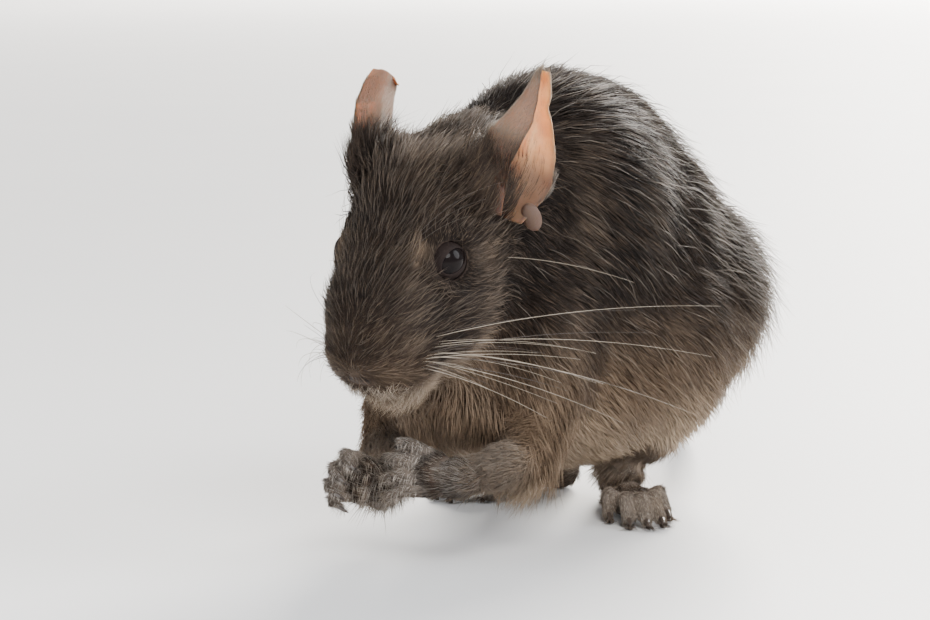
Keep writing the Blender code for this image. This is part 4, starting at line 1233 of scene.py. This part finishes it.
# A lid's section: how far out toward the rim each point is, and how far above the eyeball
LID_PROFILE = [(0.0, -0.35), (0.0, 0.08), (0.1, 0.2), (0.35, 0.26), (0.7, 0.2), (1.0, 0.02), (1.15, -0.6)]


def eye_turn(side):
    """Row-frame axes of an eye: across, up and out, as columns."""
    axis = mirrored(EYE_AXIS, side)
    out = unit(turned_to_row(axis[0] * AHEAD + axis[1] * np.array((0, 1.0, 0)) + axis[2] * ABOVE))
    up = turned_to_row(ABOVE)
    across = unit(np.cross(up, out))
    return np.stack([across, np.cross(out, across), out], 1)


def build_eyeball(word, turn, centre, material):
    """One wet eyeball in the place of the solid one."""
    bm = bmesh.new()
    bmesh.ops.create_uvsphere(bm, u_segments=64, v_segments=40, radius=EYE_RADIUS * MM)
    mesh = bpy.data.meshes.new("eyeball_" + word)
    bm.to_mesh(mesh)
    bm.free()
    ball = bpy.data.objects.new("eyeball_" + word, mesh)
    bpy.context.scene.collection.objects.link(ball)
    matrix = Matrix(turn.tolist()).to_4x4()
    matrix.translation = Vector(centre)
    mesh.transform(matrix)
    mesh.shade_smooth()
    mesh.materials.append(material)
    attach(ball, "root")
    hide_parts("eye_" + word)


def build_lids(word, turn, centre, material):
    """The lids of one eye as a ring round a narrow opening, drawn out at the front corner."""
    side = SIDES[word]
    turns = np.linspace(0, 2 * math.pi, LID_STEPS, endpoint=False)
    corner = bump_at((turns - LID_CORNER + math.pi) % (2 * math.pi) - math.pi, 0, 0.42)
    radius = 1 / np.sqrt((np.cos(turns) / LID_WIDTH) ** 2 + (np.sin(turns) / LID_HEIGHT) ** 2) + 0.75 * corner
    outward = np.stack([-side * np.cos(turns), np.sin(turns), 0 * turns], 1)
    rows = []
    for wider, reach in LID_PROFILE:
        wide = radius + wider * (LID_RIM - radius) / LID_PROFILE[-2][0]
        deep = np.sqrt(np.maximum(0.3, (EYE_RADIUS + reach) ** 2 - wide**2))
        rows.append(outward * wide[:, None] + np.stack([0 * deep, 0 * deep, deep], 1))
    points = (np.stack(rows, 1).reshape(-1, 3) * MM) @ turn.T + centre
    faces = []
    count = len(LID_PROFILE)
    for i in range(LID_STEPS):
        for j in range(count):
            a, b = i * count + j, i * count + (j + 1) % count
            c, d = (i + 1) % LID_STEPS * count + (j + 1) % count, (i + 1) % LID_STEPS * count + j
            faces.append((a, b, c, d) if side < 0 else (d, c, b, a))
    lids = mesh_of("lids_" + word, points, faces)
    lids.data.materials.append(material)
    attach(lids, "root")


def build_eyes(eye_mat, lid_mat):
    """Both eyeballs and their lids."""
    for word, side in SIDES.items():
        turn, centre = eye_turn(side), to_row(EYES[word])
        build_eyeball(word, turn, centre, eye_mat)
        build_lids(word, turn, centre, lid_mat)


# Ears

def ear_sheet(side):
    """The middle sheet of an ear as rows of places up, across and out, with each place's shares of the ways
    up and from the rear rim to the front one. The front rim rolls over into a flap."""
    rows, shares = [], []
    full = math.radians(EAR_ROLL[side])
    for height in np.linspace(0, 0.985, EAR_ROWS):
        level = height if side > 0 else CROPPED_SPREAD * height
        curves = (EAR_REAR, EAR_FRONT, EAR_FLAP, EAR_FOLD)
        rear, front, flap, fold = (np.interp(level, EAR_LEVELS, curve) for curve in curves)
        if side < 0:
            flap, fold = min(flap, CROPPED_FLAP), min(fold, CROPPED_FOLD)
        rear -= 0.7 * bump_at(height, 0.76, 0.05)
        flat = max(rear + front - fold, 0.3)
        length = flat + fold * full + flap
        fine = np.linspace(0, length, EAR_FINE_STEPS)
        turn = full * ramp((fine - flat) / (fold * full), -0.25, 1.25)
        across = -rear + np.cumsum(np.cos(turn)) * length / (EAR_FINE_STEPS - 1)
        out = np.cumsum(np.sin(turn)) * length / (EAR_FINE_STEPS - 1)
        out += EAR_CUP * (1 - 0.62 * height) * (np.minimum(across, 0) / rear) ** 2 - EAR_LEAN * height**2
        out += 0.8 * bump_at(across, -0.25 * rear, 1.0) * (1 - ramp(height, 0.5, 0.85))
        share = np.linspace(0, 1, EAR_COLUMNS) ** 0.9
        across, out = np.interp(share * length, fine, across), np.interp(share * length, fine, out)
        up = np.full(EAR_COLUMNS, height * (EAR_HEIGHT + EAR_SUNK) - EAR_SUNK)
        if side < 0:
            torn = CROP_HEIGHT + CROP_SLOPE * out + 0.3 * np.sin(11 * share)
            up = np.minimum(up, torn - 0.02 * (1 - height))
        rows.append(np.stack([up, side * across, out], 1))
        shares.append(np.stack([np.full(EAR_COLUMNS, height), share], 1))
    return np.array(rows), np.array(shares)


def sheet_facing(spots, side):
    """The inner side's normals over a sheet of places."""
    rise = np.gradient(spots, axis=0)
    rise[np.linalg.norm(rise, axis=2) < 0.05] = (1.0, 0.0, 0.0)
    return unit(np.cross(rise, np.gradient(spots, axis=1)) * side)


def on_sheet(grid, i, j):
    """The values of a grid between its rows and columns."""
    low_i, low_j = i.astype(int), j.astype(int)
    here = grid[low_i, low_j]
    to_next_row = (i - low_i)[:, None] * (grid[low_i + 1, low_j] - here)
    return here + to_next_row + (j - low_j)[:, None] * (grid[low_i, low_j + 1] - here)


def lobe_mesh(side, start):
    """The bulb at the ear's lower opening, as more points and faces of the ear."""
    bm = bmesh.new()
    bmesh.ops.create_uvsphere(bm, u_segments=24, v_segments=14, radius=1.0)
    points, faces = bm_arrays(bm)
    faces = [tuple(i + start for i in face) for face in faces]
    bm.free()
    ahead, left, above = (points * LOBE_RADII).T
    points = np.stack([LOBE[0] + ahead, LOBE[1] * side + left, LOBE[2] + above], 1)
    return np.array([on_head(p) for p in points]), faces


def sheet_faces():
    """The faces of an ear's two layers and of the rim that joins them."""
    size = EAR_ROWS * EAR_COLUMNS

    def number(i, j, layer):
        return layer * size + i * EAR_COLUMNS + j

    faces = []
    for i in range(EAR_ROWS - 1):
        for j in range(EAR_COLUMNS - 1):
            quad = [number(i, j, 0), number(i, j + 1, 0), number(i + 1, j + 1, 0), number(i + 1, j, 0)]
            faces.append(tuple(quad))
            faces.append(tuple(q + size for q in quad[::-1]))
    rim = [(0, j) for j in range(EAR_COLUMNS)] + [(i, EAR_COLUMNS - 1) for i in range(1, EAR_ROWS)]
    rim += [(EAR_ROWS - 1, j) for j in range(EAR_COLUMNS - 2, -1, -1)]
    rim += [(i, 0) for i in range(EAR_ROWS - 2, 0, -1)]
    for (i, j), (k, m) in zip(rim, rim[1:] + rim[:1]):
        faces.append((number(k, m, 0), number(i, j, 0), number(i, j, 1), number(k, m, 1)))
    return faces


def build_ears(material):
    """Both ears as thin closed sheets with a lobe, masked at the rim, the root and the outer side."""
    for word, side in SIDES.items():
        root, axes = ear_axes(side)
        spots, shares = ear_sheet(side)
        height, across = shares[..., 0], 2 * shares[..., 1] - 1
        rim = np.maximum(np.abs(across), ramp(height, 0.93, 1.0)) ** 10
        thin = EAR_THICKNESS * (1.25 - 0.55 * height) * (1 - 0.5 * rim)
        facing = sheet_facing(spots, side)
        back = spots - 0.5 * thin[..., None] * facing
        front = spots + 0.5 * thin[..., None] * facing
        local = np.concatenate([front.reshape(-1, 3), back.reshape(-1, 3)])
        size = EAR_ROWS * EAR_COLUMNS
        lobe, lobe_faces = lobe_mesh(side, len(local))
        places = np.vstack([root + local @ axes, lobe])
        ear = mesh_of("pinna_" + word, to_row(places), sheet_faces() + lobe_faces)
        masks = np.zeros((len(places), 3))
        masks[len(local) :] = (0.0, 0.85, 1.0)
        masks[: 2 * size, 0] = np.tile(rim.ravel(), 2)
        masks[: 2 * size, 1] = np.tile(1 - ramp(height, 0.26, 0.56).ravel(), 2)
        masks[size : 2 * size, 2] = 1.0
        paint(ear, "ear", masks)
        bm = bmesh.new()
        bm.from_mesh(ear.data)
        bmesh.ops.recalc_face_normals(bm, faces=bm.faces[:])
        bm.to_mesh(ear.data)
        bm.free()
        ear.data.shade_smooth()
        ear.data.materials.append(material)
        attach(ear, "root")
        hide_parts("ear_" + word)


# Claws

CLAW_STEPS, CLAW_CURVE = 8, 40.0
CLAW_END, CLAW_TAPER, CLAW_SQUASH = 0.05, 0.75, 0.8
HAND_CLAW, FOOT_CLAW = (3.4, 0.6), (4.4, 0.78)


def claw(origin, axes, tip, angle, length, radius):
    """A curved claw from a place in a paw's own directions, pointing down by an angle in degrees."""
    spot = np.array(tip, float)
    path, radii = [], []
    for i in range(CLAW_STEPS + 1):
        path.append(spot.copy())
        radii.append((radius * (1 - i / CLAW_STEPS) ** CLAW_TAPER + CLAW_END) * MM)
        turn = math.radians(angle + CLAW_CURVE * i / CLAW_STEPS)
        spot += np.array((math.cos(turn), 0, -math.sin(turn))) * length / CLAW_STEPS
    places = to_row(origin + np.array(path) @ axes)
    return tube_mesh(places, radii, sides=8, squash=CLAW_SQUASH, up=turned_to_row(axes[2]))


def build_claws(material):
    """The claws of every hand and foot."""
    for word in SIDES:
        wrist, forward, back, curls = HANDS[word]
        origin, axes = limb_frame(wrist, forward, back)
        pieces = []
        for chain in finger_chains(word):
            before, last = (axes @ (spot - origin) for spot, _ in chain[-2:])
            pieces.append(claw(origin, axes, last - 0.4 * unit(last - before), curls[-1] - 16, *HAND_CLAW))
        finish_claws("claws_hand_" + word, pieces, material)
        origin, axes = foot_frame(word)
        pieces = []
        for chain in toe_chains(word):
            last = axes @ (chain[-1][0] - origin)
            pieces.append(claw(origin, axes, last - (0.4, 0, -0.4), 4, *FOOT_CLAW))
        finish_claws("claws_foot_" + word, pieces, material)


def finish_claws(name, pieces, material):
    """The claws of one paw as one piece, kept just off the floor."""
    points, faces = gather(pieces)
    points[:, 2] = np.maximum(points[:, 2], 0.1 * MM)
    obj = mesh_of(name, points, faces)
    obj.data.materials.append(material)
    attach(obj, "root")


# Whiskers, brush and bristles

WHISKER_STEPS, WHISKER_SIDES = 15, 5
WHISKER_END = 0.018
STIFF, FINE, BROW = 0.055, 0.035, 0.022
FINE_WHISKERS, BROW_WHISKERS = 15, 3


def whisker_root(row, column, side):
    """Where a whisker of the pad grows, as a place on the head."""
    return (-7.2 - 2.8 * column + 0.6 * row, 13.5 * side, -1.0 - 1.9 * row)


def whisker_rows(side):
    """Each whisker of one side as its root, length, direction, droop and radius."""
    rows = []
    for row in range(3):
        for column in range(3):
            way = (-0.42 - 0.12 * column, side, 0.2 - 0.2 * row + 0.05 * column)
            length = 29.0 + 12.0 * column - 3.0 * row
            rows.append((whisker_root(row, column, side), length, way, 0.17 + 0.03 * row, STIFF))
    for _ in range(FINE_WHISKERS):
        row, column = LUCK.uniform(-0.4, 2.7), LUCK.uniform(-0.5, 2.2)
        way = (-0.42 - 0.12 * column, side, 0.2 - 0.22 * row + 0.05 * column)
        length = (13 + 9.0 * column) * LUCK.uniform(0.7, 1.15)
        rows.append((whisker_root(row, column, side), length, way, LUCK.uniform(0.1, 0.3), FINE))
    for number in range(BROW_WHISKERS):
        root = (-20.0 - 2.2 * number, 6.6 * side, 12.0)
        rows.append((root, 17.0 + 3 * number, (-0.5, 0.75 * side, 1.0), 0.3, BROW))
    rows.append(((-36.0, 17.0 * side, -3.0), 24.0, (-0.7, side, -0.1), 0.2, FINE))
    return rows


def build_whiskers(ground, material):
    """Long whiskers from the pads, fine ones among them, and single ones at brow and cheek."""
    pieces, lucks = [], []
    for side in SIDES.values():
        for root, length, way, droop, thick in whisker_rows(side):
            start = ground.points[ground.tree.find(Vector(to_row(on_head(root))))[1]]
            way = unit(np.array(way) + LUCK.normal(0, 0.03, 3))
            share = np.linspace(0, 1, WHISKER_STEPS)[:, None]
            bow = share**2 * length
            path = start + turned_to_row(way * share * length) * MM
            path += turned_to_row(np.array((-0.22, -0.09 * side, -droop)) * bow) * MM
            path[:, 2] = np.maximum(path[:, 2], 1.5 * MM)
            radii = (thick * (1 - share[:, 0]) ** 0.7 + WHISKER_END) * MM
            pieces.append(tube_mesh(path, radii, sides=WHISKER_SIDES))
            lucks.append(1.0 if thick == BROW else LUCK.random())
    points, faces = gather(pieces)
    obj = mesh_of("whiskers", points, faces)
    strand = np.zeros((len(points), 3))
    tones = [0.35 if luck < 0.6 else 0.95 for luck in lucks]
    strand[:, 1] = np.repeat(tones, WHISKER_STEPS * WHISKER_SIDES)
    paint(obj, "strand", strand)
    obj.data.materials.append(material)
    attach(obj, "root")


BRUSH_HAIRS = 4800
BRISTLES_A_TOE = 20
EAR_HAIRS = 9500


def plain_marks(total, values):
    """The same marks for every hair."""
    return np.tile(np.array(values, float), (total, 1))


def build_brush(material):
    """The tail's brush of long stiff hairs, growing longer toward the tip."""
    total = BRUSH_HAIRS
    share = 0.5 + 0.49 * LUCK.random(total) ** 0.65
    spot = share * (len(TAIL) - 1)
    low = np.floor(spot).astype(int)
    along = TAIL[np.minimum(low + 1, len(TAIL) - 1)] - TAIL[low]
    centre = TAIL[low] + along * (spot - low)[:, None]
    along = unit(along)
    across = unit(np.cross(along, (0, 0, 1.0)))
    turn = LUCK.uniform(0, 2 * math.pi, total)[:, None]
    out = np.cos(turn) * across + np.sin(turn) * np.cross(across, along)
    inward = 1 - ramp(share, 0.95, 0.99) * LUCK.random(total)
    roots = centre + out * ((tail_radius(share) - 0.9) * inward)[:, None]
    length = (4 + 10.5 * ramp(share, 0.5, 0.95)) * LUCK.uniform(0.7, 1.15, total)
    lift = 14 + 14 * LUCK.random(total) + 10 * ramp(share, 0.6, 1.0)
    along = along + LUCK.normal(0, 0.08, (total, 3))
    sizes = (length, 0.26 * LUCK.uniform(0.8, 1.2, total), lift, LUCK.uniform(0.5, 1.2, total))
    luck, marks = LUCK.random(total), plain_marks(total, (0.05, 0.0, 1.0))
    charts, clump = chart_places(roots, out, np.zeros(total, int)), np.full(total, 0.4)
    name, roots, out, along = "tail_brush", to_row(roots), turned_to_row(out), turned_to_row(along)
    make_hairs(name, material, True, roots, out, along, sizes, luck, marks, charts, clump)


def build_bristles(material):
    """Stiff pale hairs that reach over the claws of the hind feet."""
    roots, outs, lies = [], [], []
    for word, side in SIDES.items():
        origin, axes = foot_frame(word)
        for spread, start, length in zip(TOE_SPREAD, TOE_START, TOE_LENGTH):
            for _ in range(BRISTLES_A_TOE):
                turn = LUCK.uniform(-1.2, 1.2)
                out = np.array((0.2, math.sin(turn), math.cos(turn)))
                end = np.array((start + length * LUCK.uniform(0.62, 0.95), spread * side * 1.3, 2.2))
                roots.append(origin + (end + 1.25 * out) @ axes)
                outs.append(out @ axes)
                lies.append(np.array((1.0, LUCK.normal(0, 0.12), -0.32)) @ axes)
    total = len(roots)
    roots, outs, lies = np.array(roots), unit(np.array(outs)), np.array(lies)
    length, width = LUCK.uniform(2.4, 4.6, total), 0.13 * LUCK.uniform(0.8, 1.2, total)
    sizes = (length, width, LUCK.uniform(4, 16, total), LUCK.uniform(0.6, 1.6, total))
    luck, marks = LUCK.random(total), plain_marks(total, (0.1, 0.8, 0.0))
    charts = chart_places(roots, outs, np.zeros(total, int))
    roots, outs, lies = to_row(roots), turned_to_row(outs), turned_to_row(lies)
    make_hairs("toe_bristles", material, True, roots, outs, lies, sizes, luck, marks, charts)


def build_ear_hairs(material):
    """Fine short hairs over the ears, longest at the rims and the roots."""
    for word, side in SIDES.items():
        root, axes = ear_axes(side)
        spots, shares = ear_sheet(side)
        facing = sheet_facing(spots, side)
        upward = unit(np.gradient(spots, axis=0) + 1e-6)
        total = EAR_HAIRS
        i = (EAR_ROWS - 1.01) * LUCK.random(total) ** 1.25
        j = (EAR_COLUMNS - 1.01) * LUCK.random(total)
        edge = LUCK.random(total) < 0.14
        j = np.where(edge, np.where(LUCK.random(total) < 0.5, 0.2, EAR_COLUMNS - 1.2), j)
        spot, share = on_sheet(spots, i, j), on_sheet(shares, i, j)
        out, up = unit(on_sheet(facing, i, j)), unit(on_sheet(upward, i, j))
        inner = (LUCK.random(total) < 0.2) & ~edge
        out = np.where(inner[:, None], out, -out)
        near_root = 1 - ramp(share[:, 0], 0.25, 0.6)
        length = np.where(inner, 1.6, 1.5) + 2.8 * near_root + 0.3 * edge
        width = np.where(inner, 0.07, 0.1) + 0.06 * near_root
        keep = (share[:, 0] > 0.12) & ((share[:, 0] < 0.8) | (side > 0))
        spot, out, up = spot[keep], out[keep], up[keep]
        length, width, near_root = length[keep], width[keep], near_root[keep]
        total = len(spot)
        places = root + (spot + 0.15 * out) @ axes
        out, up = out @ axes, up @ axes
        marks = plain_marks(total, (0.35, 0.4, 0.3))
        marks[:, 1] -= 0.4 * near_root
        marks[:, 2] += 0.6 * near_root
        sizes = (length, width, LUCK.uniform(8, 26, total), np.full(total, 0.8))
        luck, charts = LUCK.random(total), chart_places(places, out, np.zeros(total, int))
        places, out, up = to_row(places), turned_to_row(out), turned_to_row(up)
        name = "ear_hairs_" + word
        make_hairs(name, material, False, places, out, up, sizes, luck, marks, charts)


# Stage, light and camera

CAMERA_PLACE = (435.1, 278.2, 113.0)
CAMERA_YAW, CAMERA_DIP = math.radians(35.0), math.radians(7.86)
FOCAL_PIXELS, IMAGE_WIDTH, SENSOR_WIDTH = 2484.0, 930.0, 36.0
NEAREST_SEEN, FARTHEST_SEEN = 0.01, 150.0
FLOOR_REACH = 80
GLOW_START, GLOW_END, GLOW = 8.0, 16.0, (0.45, 0.45, 0.45, 1)
# Each lamp's place, size in metres, power in watts and colour. All of them look at the middle of the animal.
LAMPS = {
    "soft key": ((330, 420, 420), 0.34, 4.4, (1.0, 0.98, 0.95)),
    "side fill": ((360, -260, 200), 0.4, 1.6, (0.92, 0.96, 1.0)),
    "back rim": ((-10500, -2460, 4200), 6.6, 5760.0, (1.0, 0.95, 0.88)),
    "rear fill": ((-4680, 7560, 4680), 6.6, 972.0, (0.95, 0.97, 1.0)),
}
LIT_PLACE = (20, 0, 40)
SKY, SKY_STRENGTH = (0.86, 0.9, 0.95, 1), 0.52


def floor_material():
    """A pale floor with faint clouds. Far away, past the reach of the lamps, it glows to stay as pale."""
    material, tree, shader = new_material("pale floor", 0.55, 0.3)
    coords = object_coords(tree)
    cloud = clouded(tree, coords, 6.0, 3.0)
    pale = mixed(tree, cloud, (0.74, 0.74, 0.745, 1), (0.79, 0.785, 0.78, 1))
    tree.links.new(pale, shader.inputs["Base Color"])
    far = node(tree, "ShaderNodeVectorMath", {"operation": "LENGTH"}, i0=coords).outputs["Value"]
    glow = mixed(tree, stepped(tree, far, GLOW_START, GLOW_END), (0, 0, 0, 1), GLOW)
    shader.inputs["Emission Strength"].default_value = 1.0
    tree.links.new(glow, shader.inputs["Emission Color"])
    return material


def set_stage():
    """The floor, the lamps and the sky."""
    edge = FLOOR_REACH
    corners = [(-edge, -edge, 0), (edge, -edge, 0), (edge, edge, 0), (-edge, edge, 0)]
    floor = mesh_of("floor", corners, [(0, 1, 2, 3)], False)
    floor.data.materials.append(floor_material())
    for name, (place, size, power, colour) in LAMPS.items():
        data = bpy.data.lights.new(name, "AREA")
        data.shape, data.size, data.energy, data.color = "DISK", size, power, colour
        lamp = bpy.data.objects.new(name, data)
        bpy.context.scene.collection.objects.link(lamp)
        lamp.location = Vector(to_row(place))
        lamp.rotation_mode = "QUATERNION"
        lamp.rotation_quaternion = (lamp.location - Vector(to_row(LIT_PLACE))).to_track_quat("Z", "Y")
    world = bpy.data.worlds.new("studio")
    bpy.context.scene.world = world
    world.use_nodes = True
    world.node_tree.nodes["Background"].inputs["Color"].default_value = SKY
    world.node_tree.nodes["Background"].inputs["Strength"].default_value = SKY_STRENGTH


def set_camera():
    """The camera at the photograph's angle."""
    data = bpy.data.cameras.new("camera")
    data.sensor_width = SENSOR_WIDTH
    data.lens = data.sensor_width * FOCAL_PIXELS / IMAGE_WIDTH
    data.clip_start, data.clip_end = NEAREST_SEEN, FARTHEST_SEEN
    camera = bpy.data.objects.new("camera", data)
    bpy.context.scene.collection.objects.link(camera)
    camera.location = Vector(to_row(CAMERA_PLACE))
    flat = math.cos(CAMERA_DIP)
    back = Vector((math.sin(CAMERA_YAW) * flat, -math.cos(CAMERA_YAW) * flat, math.sin(CAMERA_DIP)))
    camera.rotation_mode = "QUATERNION"
    camera.rotation_quaternion = back.to_track_quat("Z", "Y")
    bpy.context.scene.camera = camera


def main():
    """Lays the skin, grows the coat over it and adds every other piece."""
    group = agouti_group()
    skin = lay_skin()
    skin.data.materials.append(skin_material(group))
    ground = Ground(skin)
    paint(skin, "marks", ground.marks)
    paint(skin, "bare", bare_skin(ground.places, ground.part))
    coat = coat_material(group)
    grow_coat(ground, coat)
    build_eyes(eye_material(), lid_material())
    build_ears(ear_material())
    build_claws(horn_material())
    build_whiskers(ground, whisker_material())
    build_brush(coat)
    build_bristles(coat)
    build_ear_hairs(coat)
    set_stage()
    set_camera()


main()
